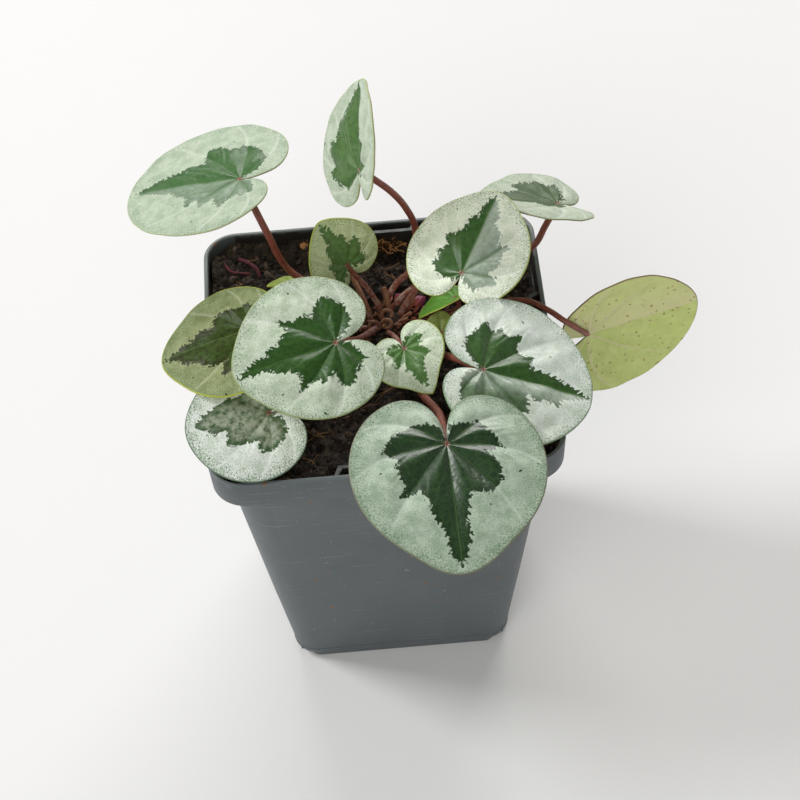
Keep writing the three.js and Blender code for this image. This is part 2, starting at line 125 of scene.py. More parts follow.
def new_material(name, roughness, ior=1.45):
    material = bpy.data.materials.new(name)
    material.use_nodes = True
    tree = material.node_tree
    shader = tree.nodes["Principled BSDF"]
    shader.inputs["Roughness"].default_value = roughness
    shader.inputs["IOR"].default_value = ior
    return material, tree, shader


def surface(tree, shader, colour, strength, depth, height):
    """Give a material its colour, and small relief of some depth in metres."""
    tree.links.new(colour, shader.inputs["Base Color"])
    bump = add(tree, "Bump", {"Strength": strength, "Distance": depth, "Height": height})
    tree.links.new(bump, shader.inputs["Normal"])


# %% [markdown]
# Every piece is a mesh worked out in millimetres, with its place in its points, so that its
# object stays at the origin. It rides on the one body and stands for the plain solids of the
# imported model.

# %% Mesh helper
def piece(name, points, faces, materials, nodes, smooth=True, face_material=None, fields=None):
    mesh = bpy.data.meshes.new(name)
    mesh.from_pydata((np.asarray(points) * MM).tolist(), [], [list(f) for f in faces])
    for material in materials:
        mesh.materials.append(material)
    if face_material is not None:
        mesh.polygons.foreach_set("material_index", np.asarray(face_material, dtype=np.int32))
    for field, values in (fields or {}).items():
        values = np.asarray(values, dtype=np.float32)
        kind = "FLOAT_VECTOR" if values.ndim == 2 else "FLOAT"
        layer = mesh.attributes.new(field, kind, "POINT")
        layer.data.foreach_set("vector" if values.ndim == 2 else "value", values.ravel())
    mesh.polygons.foreach_set("use_smooth", np.full(len(mesh.polygons), smooth))
    mesh.update()
    obj = bpy.data.objects.new(name, mesh)
    bpy.context.scene.collection.objects.link(obj)
    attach(obj, "root")
    if nodes:
        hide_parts(*nodes)
    return obj


# %% [markdown]
# The leaves are the plant. Each one is known by where its blade meets its stalk, how the blade is
# turned, and a short list of the places that its stalk passes. The numbers are those of the
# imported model, in millimetres and degrees.

# %% The leaves
LEAVES = {
    "01": dict(joint=(-32.1, 33.7, 126), heading=165, pitch=-15, roll=-5, length=33, width=0.72,
               forward=0.27, skew=0.2, pucker=0.55, stalk=1,
               route=[(-1.6, 14.4, 90.2), (-12, 21, 93.4), (-22, 27, 98), (-26.8, 27.4, 113)]),
    "02": dict(joint=(-0.7, 24.5, 134), heading=86, pitch=41, roll=65, length=23.5, width=0.74,
               forward=0.2, skew=-0.09, fold=0.2, stalk=0.95,
               route=[(3.2, 19.4, 90), (6.4, 23.6, 92.6), (11, 25.4, 96.4), (12.6, 30, 106),
                      (10.4, 28.8, 115.4), (6.6, 26.6, 124)]),
    "03": dict(joint=(-6.5, 21, 104), heading=160, pitch=65, roll=34, length=15.2, width=0.71,
               forward=0.21, skew=-0.03, fold=0.28, stalk=0.8,
               route=[(1.4, 16.6, 91), (-1.2, 19.4, 95.4)]),
    "04": dict(joint=(23.1, 7.3, 111), heading=60, pitch=23, roll=4, length=24.6, width=0.69,
               forward=0.21, skew=-0.06, pucker=0.7, crease=0.2, stalk=0.95,
               route=[(6.9, 14.4, 90.4), (12.9, 18.4, 97), (20.2, 14.2, 105)]),
    "05": dict(joint=(51, 34, 107), heading=183, pitch=18, roll=-18, length=22.2, width=0.68,
               forward=0.16, skew=-0.18, fold=0.22, pucker=0.5, stalk=0.95,
               route=[(6, 17.6, 91), (12, 21.8, 93), (28, 24.6, 95), (43.6, 27.4, 98.6),
                      (47.4, 30.4, 103)]),
    "06": dict(joint=(56, 5.1, 86.2), heading=20, pitch=0, roll=87, length=32.1, width=0.68,
               forward=0.27, skew=-0.43, notch=(148, 174.5), stalk=0.8,
               route=[(9.8, 9, 89.6), (20, 9.6, 93.6), (39, 8.2, 98.2), (45.4, 3, 98.8),
                      (48.8, 1.4, 96.6), (52.8, 2.6, 91.6)]),
    "07": dict(joint=(-10.4, -20.4, 118.5), heading=196, pitch=-3, roll=19, length=26.6, width=0.74,
               forward=0.17, skew=0.1, stalk=1,
               route=[(0.6, 9, 91.4), (-4, 3, 94.6), (-8, -7.5, 105)]),
    "08": dict(joint=(-31.7, -9, 114), heading=183, pitch=-16, roll=7, length=24.8, width=0.67,
               forward=0.2, skew=-0.17, pucker=0.7, stalk=0.95,
               route=[(-2.6, 10.4, 90), (-14, 5, 94.6), (-25, -2.5, 104)]),
    "09": dict(joint=(-28.7, -28, 103.1), heading=188, pitch=-1, roll=20, length=21.3, width=0.76,
               forward=0.2, skew=-0.16, pucker=0.7, stalk=0.95,
               route=[(-1.6, 6.2, 89.4), (-8, -4, 92.8), (-18.5, -17, 96)]),
    "10": dict(joint=(6.8, -7.2, 100), heading=293, pitch=-9, roll=-21, length=13.8, width=0.73,
               forward=0.06, skew=-0.03, point=0.11, stalk=0.7,
               route=[(3, 6.8, 91.6), (4.8, 1.4, 95.4)]),
    "11": dict(joint=(25.5, -24.5, 108.5), heading=352, pitch=-20, roll=-10, length=29.3, width=0.745,
               forward=0.22, skew=-0.16, dome=0.025, crease=0.12, stalk=1,
               route=[(7, 5.4, 89.8), (14.6, -4, 94.5), (20.4, -14, 101.5)]),
    "12": dict(joint=(14.4, -49.4, 110.5), heading=272, pitch=-16, roll=4, length=33.2, width=0.73,
               forward=0.15, skew=0.02, pucker=1.15, stalk=1.05,
               route=[(4.4, 3.6, 89.4), (7.2, -6, 91.4), (10.2, -18.4, 94.8), (13.8, -33.8, 103.6)]),
    "13": dict(joint=(-21.6, 25, 94.6), heading=178, pitch=-2, roll=-24, length=6.8, width=0.52,
               forward=0.2, fold=0.3, stalk=0.55, route=[(-3.8, 13, 90), (-14, 19.4, 92.2)]),
    "14": dict(joint=(21.3, 12.2, 97), heading=190, pitch=-21, roll=-22, length=11, width=0.52,
               forward=0.2, fold=0.35, stalk=0.6,
               route=[(9.8, 11.8, 89.2), (18, 12, 91.6), (22.4, 12, 94.2)]),
    "15": dict(joint=(16.8, 4.2, 92.9), heading=84, pitch=30, roll=0, length=6, width=0.68,
               forward=0.2, fold=0.2, stalk=0.55, route=[(9.4, 6.4, 88.8), (14.4, 4.4, 90.8)]),
}
YOUNG = ("13", "14", "15")
print(len(LEAVES), "leaves")

# %% [markdown]
# The dark mark is what such a plant is grown for: a fir-tree shape that grows out from the joint
# along the main veins. Its outline on each leaf is a list of corners, each an angle from the tip
# in degrees and a share of the leaf's length, from one side of the notch round to the other.

# %% The dark marks
MARKS = {
    "01": [(-156, .13), (-135, .24), (-109, .24), (-87, .27), (-75, .36), (-57, .30), (-52, .42),
           (-36, .39), (-41, .52), (-28, .46), (-16, .54), (-8, .60), (-5, .76), (0, .96), (4, .84),
           (9, .76), (15, .61), (23, .56), (33, .46), (45, .58), (58, .53), (66, .42), (78, .44), (90, .42),
           (104, .36), (122, .32), (149, .15)],
    "02": [(-135, .18), (-131, .31), (-110, .37), (-100, .45), (-88, .59), (-74, .50), (-64, .64),
           (-58, .58), (-55, .73), (-52, .55), (-42, .62), (-34, .70), (-26, .67), (-21, .73), (-13, .80),
           (-3, .96), (3, .80), (5, .50), (18, .46), (14, .36), (50, .34), (46, .22), (84, .25), (108, .16),
           (140, .10)],
    "03": [(-150, .16), (-130, .30), (-105, .38), (-94, .35), (-72, .31), (-52, .42), (-31, .33),
           (-25, .54), (-10, .60), (-6, .82), (0, .96), (6, .83), (11, .62), (21, .63), (26, .47),
           (33, .41), (44, .56), (60, .44), (76, .33), (94, .40), (117, .31), (145, .15)],
    "04": [(-158, .11), (-119, .19), (-108, .25), (-84, .39), (-74, .33), (-61, .40), (-48, .38),
           (-41, .51), (-30, .47), (-18, .51), (-14, .68), (-8, .65), (-6, .80), (0, .96), (6, .83),
           (12, .73), (14, .63), (27, .57), (35, .49), (45, .58), (50, .48), (68, .42), (76, .32),
           (84, .39), (96, .45), (110, .30), (126, .28), (146, .13)],
    "05": [(-150, .08), (-125, .12), (-98, .14), (-77, .17), (-68, .15), (-54, .22), (-36, .25), (-21, .40),
           (-12, .52), (-6, .76), (0, .94), (6, .80), (13, .61), (22, .50), (27, .60), (40, .56), (50, .49),
           (67, .47), (78, .39), (99, .40), (106, .28), (145, .14)],
    "06": [(-144, .13), (-122, .30), (-98, .42), (-86, .48), (-72, .34), (-56, .46), (-44, .56), (-30, .44),
           (-16, .52), (-8, .70), (0, .95), (8, .72), (17, .52), (30, .44), (43, .58), (58, .46), (72, .34),
           (86, .46), (104, .40), (128, .28), (150, .13)],
    "07": [(-160, .13), (-132, .33), (-110, .33), (-94, .44), (-80, .45), (-69, .32), (-56, .42),
           (-43, .42), (-37, .60), (-27, .45), (-17, .51), (-9, .62), (-4, .72), (-1, .97), (3, .85),
           (7, .77), (8, .65), (16, .63), (15, .56), (28, .50), (36, .47), (41, .62), (47, .46), (62, .41),
           (66, .32), (79, .42), (93, .48), (103, .45), (120, .41), (137, .30), (152, .16)],
    "08": [(-150, .16), (-128, .30), (-108, .36), (-90, .45), (-75, .40), (-58, .54), (-50, .56),
           (-44, .42), (-33, .55), (-25, .61), (-16, .66), (-13, .76), (-7, .80), (-1, .97), (3, .82),
           (7, .72), (9, .60), (17, .58), (20, .42), (41, .45), (54, .40), (66, .33), (90, .34), (104, .27),
           (125, .28), (150, .14)],
    "09": [(-146, .20), (-125, .31), (-105, .40), (-84, .48), (-69, .50), (-58, .39), (-38, .52),
           (-31, .62), (-23, .57), (-12, .54), (-10, .70), (-4, .80), (1, .91), (7, .82), (15, .69),
           (21, .63), (30, .54), (44, .42), (60, .46), (84, .44), (104, .36), (126, .30), (150, .15)],
    "10": [(-155, .13), (-138, .26), (-117, .33), (-106, .41), (-94, .40), (-87, .31), (-80, .38),
           (-68, .28), (-55, .40), (-46, .52), (-32, .44), (-19, .52), (-12, .63), (-6, .78), (0, .95),
           (4, .80), (9, .70), (13, .50), (24, .52), (30, .35), (54, .47), (63, .35), (88, .28), (108, .38),
           (130, .30), (152, .16)],
    "11": [(-150, .15), (-140, .27), (-126, .31), (-106, .39), (-94, .48), (-84, .41), (-76, .47),
           (-65, .41), (-54, .53), (-48, .39), (-34, .40), (-31, .50), (-18, .42), (-13, .53), (-8, .67),
           (-4, .82), (0, .96), (4, .85), (8, .73), (17, .72), (14, .61), (23, .53), (21, .43), (37, .54),
           (46, .47), (62, .42), (78, .36), (92, .44), (114, .42), (132, .29), (155, .16)],
    "12": [(-164, .15), (-122, .30), (-108, .32), (-82, .42), (-72, .29), (-62, .41), (-50, .48),
           (-36, .50), (-18, .43), (-12, .50), (-7, .62), (-7, .75), (-3, .86), (0, .97), (5, .84),
           (7, .70), (15, .60), (21, .50), (33, .42), (44, .57), (48, .46), (64, .43), (75, .39), (87, .47),
           (103, .40), (128, .28), (143, .19), (166, .13)],
}
print("corners in the marks:", sum(len(corners) for corners in MARKS.values()))


# %% [markdown]
# A blade's outline is a circle set forward of the joint, drawn in to the joint at the notch and
# out to a blunt tip. It could be a traced outline, but a formula with a few numbers gives every
# leaf of the plant the same family likeness and can be filled with a fine grid of points.

# %% The form of a blade
NOTCH_ANGLE = 174.5
LOBE_FULLNESS = 5
TIP_SPREAD = 0.33
POINT_SPREAD = 0.16


def notch_edge(leaf, angle):
    low, high = leaf.get("notch", (NOTCH_ANGLE, NOTCH_ANGLE))
    return np.radians(np.where(angle < 0, low, high))


def margin_reach(leaf, angle):
    """Distance from the joint to the margin, in leaf lengths."""
    a = np.abs(angle)
    forward, width = leaf["forward"], leaf["width"]
    circle = forward * np.cos(a) + np.sqrt(np.maximum(width ** 2 - (forward * np.sin(a)) ** 2, 0))
    skewed = circle * (1 + 0.5 * leaf.get("skew", 0) * np.sin(angle))
    tip = (1 - forward - width) * np.exp(-(a / TIP_SPREAD) ** 2)
    point = leaf.get("point", 0) * np.exp(-a / POINT_SPREAD)
    notch = np.sqrt(np.maximum(1 - (a / notch_edge(leaf, angle)) ** LOBE_FULLNESS, 0))
    return (skewed + tip + point) * notch


def blade_height(leaf, x, y, angle):
    """Height of the blade over its flat leaf plane, in leaf lengths."""
    reach = x * x + y * y
    crease = leaf.get("fold", 0) * (np.hypot(x, 0.05) - 0.05)
    wave = 0.012 * reach * np.sin(3 * angle + 2 * leaf["joint"][0])
    return crease - leaf.get("dome", 0.04) * reach + wave


def blade_axes(leaf):
    heading, pitch, roll = (math.radians(leaf[k]) for k in ("heading", "pitch", "roll"))
    tip = np.array([math.cos(pitch) * math.cos(heading), math.cos(pitch) * math.sin(heading), math.sin(pitch)])
    level = np.array([math.sin(heading), -math.cos(heading), 0])
    side = level * math.cos(roll) + np.cross(level, tip) * math.sin(roll)
    return side, tip, np.cross(side, tip)


# %% [markdown]
# Seven main veins fan out from the joint and bend forward, and side veins leave them at about
# 45 degrees. They matter twice: they are pressed into the blade, and the teeth of the dark mark
# follow them.

# %% The veins
MAIN_VEINS = (-127, -87, -43, 0, 43, 87, 127)    # degrees from the tip
VEIN_STEPS = 14
SIDE_SPACING = 3.4                               # millimetres between side veins


def main_veins(leaf):
    """The main veins as lines of points in the flat blade, in millimetres."""
    lines = []
    for start in MAIN_VEINS:
        share = np.linspace(0, 1, VEIN_STEPS + 1)
        angle = np.radians(start * (1 - 0.16 * share ** 2))
        reach = 0.94 * margin_reach(leaf, angle[-1:])[0] * leaf["length"] * share
        lines.append(np.column_stack([reach * np.sin(angle), reach * np.cos(angle)]))
    return lines


def side_veins(leaf, lines, rng):
    """Side veins, alternately left and right of each main vein and bending forward."""
    branches = []
    for line in lines:
        steps = np.linalg.norm(np.diff(line, axis=0), axis=1)
        run = np.concatenate([[0], np.cumsum(steps)])
        place = 0.2 * leaf["length"]
        sign = 1
        while place < run[-1] * 0.93:
            i = min(np.searchsorted(run, place), len(line) - 1)
            along = (line[i] - line[i - 1]) / max(steps[i - 1], 1e-9)
            across = np.array([along[1], -along[0]]) * sign
            length = (0.30 + 0.1 * rng.random()) * leaf["length"] * (1 - 0.55 * place / run[-1])
            share = np.linspace(0, 1, 7)[:, None]
            lean = np.radians(50 - 22 * share + 6 * (rng.random() - 0.5))
            branches.append(line[i] + length * share * (along * np.cos(lean) + across * np.sin(lean)))
            place += SIDE_SPACING * (0.42 + 0.16 * rng.random())
            sign = -sign
    return branches


# %% [markdown]
# Each point of a blade has to know how far it is from a vein and from the outline of the dark
# mark. Both are measured in the flat blade, for all its points at once.

# %% Distances in the flat blade
def along_line(points, line):
    """Distance to a line of points and distance along it, for many points at once."""
    best = np.full(len(points), 1e9)
    run = np.zeros(len(points))
    before = 0.0
    for a, b in zip(line[:-1], line[1:]):
        step = b - a
        length = math.hypot(*step)
        if length < 1e-9:
            continue
        share = np.clip(((points - a) @ step) / length ** 2, 0, 1)
        gap = points - a - share[:, None] * step
        distance = np.hypot(gap[:, 0], gap[:, 1])
        near = distance < best
        best[near] = distance[near]
        run[near] = before + share[near] * length
        before += length
    return best, run


def distance_to_mark(points, corners, length):
    """Distance to the outline of the dark mark, less than nothing inside it."""
    angles = np.radians([corner[0] for corner in corners])
    reach = np.array([corner[1] for corner in corners]) * length
    outline = np.column_stack([reach * np.sin(angles), reach * np.cos(angles)])
    outline = np.vstack([[0, 0], outline])
    distance, _ = along_line(points, np.vstack([outline, outline[:1]]))
    inside = np.zeros(len(points), dtype=bool)
    for a, b in zip(outline, np.roll(outline, -1, axis=0)):
        crosses = (a[1] > points[:, 1]) != (b[1] > points[:, 1])
        rise = np.where(b[1] == a[1], 1e-9, b[1] - a[1])
        x = a[0] + (points[:, 1] - a[1]) * (b[0] - a[0]) / rise
        inside ^= crosses & (points[:, 0] < x)
    return np.where(inside, -distance, distance)


# %% [markdown]
# A fresh blade is satin and a little puckered: the veins lie in valleys and the skin swells
# between them, so each flank catches the light in its own way. The grid is fine enough, about
# 0.4 mm, to hold these valleys as real form. The edge is rounded like a real leaf's.

# %% Relief of a blade
FULL_LENGTH = 22                     # millimetres: shorter leaves have lower relief
SWELL = 1.9                          # millimetres that the skin rises between the veins
SWELL_REACH = 3.3                    # millimetres from the vein over which it rises
MARGIN_CALM, JOINT_CALM = 0.34, 0.12     # shares of the length over which the relief dies out
SIDE_DEPTH, SIDE_WIDTH = 0.17, 0.42  # millimetres of the valleys along the side veins
CREASE_REACH = 8.0                   # millimetres over which the right half rises from the midrib
RIPPLE, RIPPLES = 0.06, 6            # millimetres of each of a few slow waves


def blade_relief(leaf, flat, edge, distances, fine, rng):
    """Valleys along the veins and swellings between them, flat towards the margin."""
    length = leaf["length"]
    calm = np.clip(edge / (MARGIN_CALM * length), 0, 1)
    calm = calm * calm * (3 - 2 * calm)
    from_joint = np.hypot(flat[:, 0], flat[:, 1])
    centre = np.clip(from_joint / (JOINT_CALM * length), 0, 1)
    size = min(1.0, length / FULL_LENGTH)
    away = (((distances + 0.05) ** -6.0).sum(axis=0)) ** (-1 / 6)
    steep = away / (SWELL_REACH * size)
    rise = steep / (1 + steep ** 3) ** (1 / 3)
    fading = 1 - 0.86 * np.clip(from_joint / length, 0, 1) ** 1.1
    relief = SWELL * leaf.get("pucker", 1) * rise * fading * calm
    relief += leaf.get("crease", 0) * CREASE_REACH * (1 - np.exp(-np.maximum(flat[:, 0], 0) / CREASE_REACH))
    relief -= SIDE_DEPTH * np.exp(-(fine / SIDE_WIDTH) ** 2) * calm * centre * rise
    for kx, ky, phase in rng.uniform((-0.8, -0.8, 0), (0.8, 0.8, 6.3), (RIPPLES, 3)):
        relief += RIPPLE * np.sin(kx * flat[:, 0] + ky * flat[:, 1] + phase)
    return relief * size


# %% [markdown]
# The blade is a fan of rays from the joint, crossed by rings. Its upper and under skins are the
# same grid, half a thickness up and down, and they meet in the rounded edge. The distances are
# kept with the points, because the materials paint with them.

# %% Build a blade
GRID, YOUNG_GRID = (280, 76), (120, 34)   # rays out from the joint, rings round it
SKIN_THICKNESS = 0.5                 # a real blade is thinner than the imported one
EDGE_ROUNDING = 0.35
FAR = 9.0                            # millimetres: no mark or side vein near


def blade_mesh(name, leaf, rng):
    rays, rings = YOUNG_GRID if name in YOUNG else GRID
    length = leaf["length"]
    s = np.linspace(-1, 1, rays + 1)[1:-1]
    angle = np.sign(s) * notch_edge(leaf, s) * (1 - (1 - np.abs(s)) ** 1.35)
    share = 1 - (1 - np.linspace(0, 1, rings + 1)[1:]) ** 1.15
    margin = margin_reach(leaf, angle) * length
    reach = margin[:, None] * share[None, :]
    x = (reach * np.sin(angle)[:, None]).ravel()
    y = (reach * np.cos(angle)[:, None]).ravel()
    flat = np.vstack([[0, 0], np.column_stack([x, y])])
    theta = np.concatenate([[0], np.repeat(angle, rings)])
    edge = np.concatenate([[margin.max()], (margin[:, None] * (1 - share[None, :])).ravel()])

    # distances to the main veins and the side veins
    mains = main_veins(leaf)
    found = [along_line(flat, line) for line in mains]
    distances = np.array([f[0] for f in found])
    nearest = distances.argmin(axis=0)
    pick = (nearest, np.arange(len(flat)))
    vein = distances[pick]
    run = np.array([f[1] for f in found])[pick]
    fine = np.full(len(flat), FAR)
    for branch in side_veins(leaf, mains, rng):
        fine = np.minimum(fine, along_line(flat, branch)[0])

    round_edge = np.sqrt(np.clip(1 - (1 - np.clip(edge / EDGE_ROUNDING, 0, 1)) ** 2, 0, 1))
    from_notch = np.minimum(np.arange(rays - 1), np.arange(rays - 1)[::-1])
    closed = np.clip(from_notch / 3, 0, 1)
    half = SKIN_THICKNESS / 2 * round_edge * np.concatenate([[0], np.repeat(closed, rings)])

    side, tip, face = blade_axes(leaf)
    height = blade_height(leaf, flat[:, 0] / length, flat[:, 1] / length, theta) * length
    height = height + blade_relief(leaf, flat, edge, distances, fine, rng)
    base = np.array(leaf["joint"]) + flat[:, :1] * side + flat[:, 1:] * tip + height[:, None] * face
    top = base + half[:, None] * face
    under = base - half[:, None] * face
    count = len(flat)
    inner = np.flatnonzero(half > 1e-6)
    twin = np.arange(count)
    twin[inner] = count + np.arange(len(inner))

    def corner(ray, ring):
        return 0 if ring == 0 else 1 + ray * rings + ring - 1

    faces = []
    for ray in range(rays - 2):
        faces.append((0, corner(ray + 1, 1), corner(ray, 1)))
        for ring in range(1, rings):
            faces.append((corner(ray, ring), corner(ray + 1, ring),
                          corner(ray + 1, ring + 1), corner(ray, ring + 1)))
    below = [tuple(int(twin[i]) for i in f[::-1]) for f in faces]

    fields = {
        "flat": np.column_stack([flat, np.zeros(count)]),
        "vein": vein,
        "side_vein": fine,
        "comb": np.column_stack([run - 0.8 * vein, 0.42 * vein, 9.0 * nearest]),
        "edge": edge,
        "reach": np.hypot(flat[:, 0], flat[:, 1]),
    }
    corners = MARKS.get(name)
    fields["mark"] = distance_to_mark(flat, corners, length) if corners else np.full(count, FAR)
    fields = {key: np.concatenate([values, values[inner]]) for key, values in fields.items()}
    points = np.vstack([top, under[inner]])
    return points, faces + below, [0] * len(faces) + [1] * len(below), fields


# %% [markdown]
# The upper skin of a blade is a waxy leaf surface with a loose layer of cells under it. Where
# there is air between the layers the leaf looks silver, and where there is none it shows its deep
# green, so the silver is mottled and the mark is crisp. The edge of the mark has teeth that point
# outward along the side veins; they come from noise that is drawn along those lines.

# %% Leaf skin
TOOTH = 0.9                          # millimetres between the teeth of the mark
MOTTLE = 3.4                         # millimetres across a cloud of silver
STIPPLE = 0.34                       # millimetres between the finest dots
SPECK = 0.44                         # millimetres between green specks
CELL = 0.8                           # millimetres across a cell of the skin
NET = 1.7                            # millimetres across a mesh of the finest veins


def leaf_skin(name, silver, silver_shade, mark, mark_shade, margin, speckled, sheen, painted_sheen=(0, 9)):
    material, tree, shader = new_material("waxy_leaf_skin_" + name, 0.42, 1.46)
    shader.inputs["Specular IOR Level"].default_value = sheen
    flat, comb = (add(tree, "Attribute", {"attribute_name": field}, "Vector") for field in ("flat", "comb"))
    from_mark, vein, side_vein, edge, reach = (add(tree, "Attribute", {"attribute_name": field}, "Fac")
                                               for field in ("mark", "vein", "side_vein", "edge", "reach"))

    # silver zone: faint clouds under a fine stipple
    cloud = add(tree, "TexNoise", {"Vector": flat, "Scale": 1 / MOTTLE, "Detail": 3.0, "Roughness": 0.55})
    stipple = add(tree, "TexNoise", {"Vector": flat, "Scale": 1 / STIPPLE, "Detail": 3.0, "Roughness": 0.7})
    tone = add(tree, "Math", {"operation": "MULTIPLY_ADD", 0: stipple, 1: 1.5, 2: cloud})
    pale = lay(tree, silver_shade, silver, tone, 1.08, 1.42)

    # green specks, closer together near the margin, and clear silver by the veins and the mark
    speck = add(tree, "TexNoise", {"Vector": flat, "Scale": 1 / SPECK, "Detail": 4.0, "Roughness": 0.75})
    near_edge = add(tree, "MapRange", {"Value": edge, "From Min": 0.4, "From Max": 6.0,
                                       "To Min": 0.085 * speckled, "To Max": -0.035})
    level = add(tree, "Math", {"operation": "ADD", 0: speck, 1: near_edge})
    pale = lay(tree, pale, "#506e4a", level, 0.57, 0.655, 0.0, 0.78)
    paler = [channel ** 0.62 for channel in linear(silver)]
    pale = lay(tree, pale, paler, vein, 0.0, 0.65, 0.5 * min(1, 2 * speckled), 0.0)
    pale = lay(tree, pale, silver, from_mark, 0.2, 1.3, 0.45, 0.0)

    # dark mark: deep green, paler on the thin lines of its veins
    depth = add(tree, "TexNoise", {"Vector": flat, "Scale": 0.6, "Detail": 5.0, "Roughness": 0.65})
    mottled = add(tree, "MapRange", {"Value": depth, "From Min": 0.36, "From Max": 0.62})
    dark = lay(tree, mark_shade, mark, from_mark, -2.0, -0.3, 1.3, 0.15, mottled)
    net = add(tree, "TexVoronoi", {"feature": "DISTANCE_TO_EDGE", "Vector": flat, "Scale": 1 / NET}, "Distance")
    lines = 0.0
    for away, low, high, shown in ((vein, 0.02, 0.2, 0.34), (side_vein, 0.0, 0.35, 0.08),
                                   (net, 0.0, 0.14, 0.10)):
        line = add(tree, "MapRange", {"interpolation_type": "SMOOTHSTEP", "Value": away, "From Min": low,
                                      "From Max": high, "To Min": shown, "To Max": 0.0})
        lines = add(tree, "Math", {"operation": "MAXIMUM", 0: lines, 1: line})
    dark = add(tree, "Mix", {"data_type": "RGBA", 0: lines, MIX_A: dark, MIX_B: linear("#6d9150")}, MIX_OUT)

    # painted sheen on one half of the mark, a pale grey-green that stands in for the window's reflection: its
    # strength, below 0 for the left half, and its reach
    strength, painted_sheen_reach = painted_sheen
    across = add(tree, "SeparateXYZ", {0: flat}, "X")
    outward = add(tree, "Math", {"operation": "MULTIPLY", 0: across, 1: math.copysign(1, strength)})
    share = 1.0
    for way, value, low, high, start, end in (
            ("SMOOTHSTEP", outward, 0.3 * painted_sheen_reach, painted_sheen_reach, 1.0, 0.2),
            ("SMOOTHSTEP", vein, 0.1, 1.1, 0.45, 1.0), ("LINEAR", depth, 0.36, 0.56, 0.7, 1.0)):
        part = add(tree, "MapRange", {"interpolation_type": way, "Value": value, "From Min": low,
                                      "From Max": high, "To Min": start, "To Max": end})
        share = add(tree, "Math", {"operation": "MULTIPLY", 0: share, 1: part})
    dark = lay(tree, dark, "#b2c0b0", outward, 0.0, 0.5, 0.0, abs(strength), share)

    # the toothed edge between the two, and a few green islands out in the silver
    border = from_mark
    for place, scale, detail, roughness, push in ((comb, 1 / TOOTH, 2.0, 0.55, 0.72),
                                                  (flat, 1.15, 3.0, 0.6, 0.58)):
        wave = add(tree, "TexNoise", {"Vector": place, "Scale": scale, "Detail": detail,
                                      "Roughness": roughness})
        shift = add(tree, "MapRange", {"clamp": False, "Value": wave, "From Min": 0.3, "From Max": 0.7,
                                       "To Min": -push, "To Max": push})
        border = add(tree, "Math", {"operation": "ADD", 0: border, 1: shift})
    islands = add(tree, "TexNoise", {"Vector": flat, "Scale": 0.5, "Detail": 1.0, "Roughness": 0.4})
    island_border = add(tree, "MapRange", {"clamp": False, "Value": islands, "From Min": 0.75, "From Max": 0.80,
                                           "To Min": 1.0, "To Max": -1.0})
    border = add(tree, "Math", {"operation": "MINIMUM", 0: border, 1: island_border})
    in_mark = add(tree, "MapRange", {"interpolation_type": "SMOOTHSTEP", "Value": border, "From Min": -0.12,
                                     "From Max": 0.12, "To Min": 1.0, "To Max": 0.0})
    skin = add(tree, "Mix", {"data_type": "RGBA", 0: in_mark, MIX_A: pale, MIX_B: dark}, MIX_OUT)

    # margin and joint; the mark is glossier than the silver, and small cells give both their grain
    skin = lay(tree, skin, margin, edge, 0.08, 0.5, 0.9, 0.0)
    skin = lay(tree, skin, "#8f5a4c", reach, 0.3, 1.1, 0.75, 0.0)
    gloss = add(tree, "MapRange", {"Value": in_mark, "To Min": 0.52, "To Max": 0.37})
    tree.links.new(gloss, shader.inputs["Roughness"])
    cells = add(tree, "TexVoronoi", {"feature": "SMOOTH_F1", "Vector": flat, "Scale": 1 / CELL}, "Distance")
    surface(tree, shader, skin, 0.45, 0.00012, cells)
    return material


# %% [markdown]
# The underside is pale yellow-green and duller, with raised pinkish veins and small brown flecks.
# One material serves every leaf.

# %% Leaf underside
def leaf_underside():
    material, tree, shader = new_material("pale_leaf_underside", 0.55, 1.42)
    flat = add(tree, "Attribute", {"attribute_name": "flat"}, "Vector")
    vein, side_vein, edge = (add(tree, "Attribute", {"attribute_name": field}, "Fac")
                             for field in ("vein", "side_vein", "edge"))
    cloud = add(tree, "TexNoise", {"Vector": flat, "Scale": 0.22, "Detail": 5.0, "Roughness": 0.6})
    skin = add(tree, "Mix", {"data_type": "RGBA", 0: cloud, MIX_A: linear("#a9b85a"), MIX_B: linear("#dae596")},
               MIX_OUT)
    skin = lay(tree, skin, "#b5a77c", side_vein, 0.05, 0.5, 0.16, 0.0)
    # painted highlight: one half of the underside is painted paler beside the midrib, fading towards the margin
    across = add(tree, "SeparateXYZ", {0: flat}, "X")
    fading = add(tree, "MapRange", {"interpolation_type": "SMOOTHSTEP", "Value": across, "From Min": 1.0,
                                    "From Max": 13.0, "To Min": 1.0, "To Max": 0.35})
    skin = lay(tree, skin, "#d8d2a6", across, -0.35, 0.45, 0.0, 0.55, fading)
    skin = lay(tree, skin, "#dccbb0", vein, 0.05, 0.42, 0.62, 0.0)
    flecks = add(tree, "TexNoise", {"Vector": flat, "Scale": 1.1, "Detail": 4.0, "Roughness": 0.75})
    spots = add(tree, "TexVoronoi", {"Vector": flat, "Scale": 0.5}, "Distance")
    ragged = add(tree, "Math", {"operation": "MULTIPLY_ADD", 0: flecks, 1: -0.75, 2: spots})
    skin = lay(tree, skin, "#7d4f3a", ragged, -0.27, -0.18, 0.72, 0.0)
    skin = lay(tree, skin, "#7a5446", edge, 0.12, 0.42, 0.9, 0.0)
    surface(tree, shader, skin, 0.4, 0.0001, flecks)
    return material
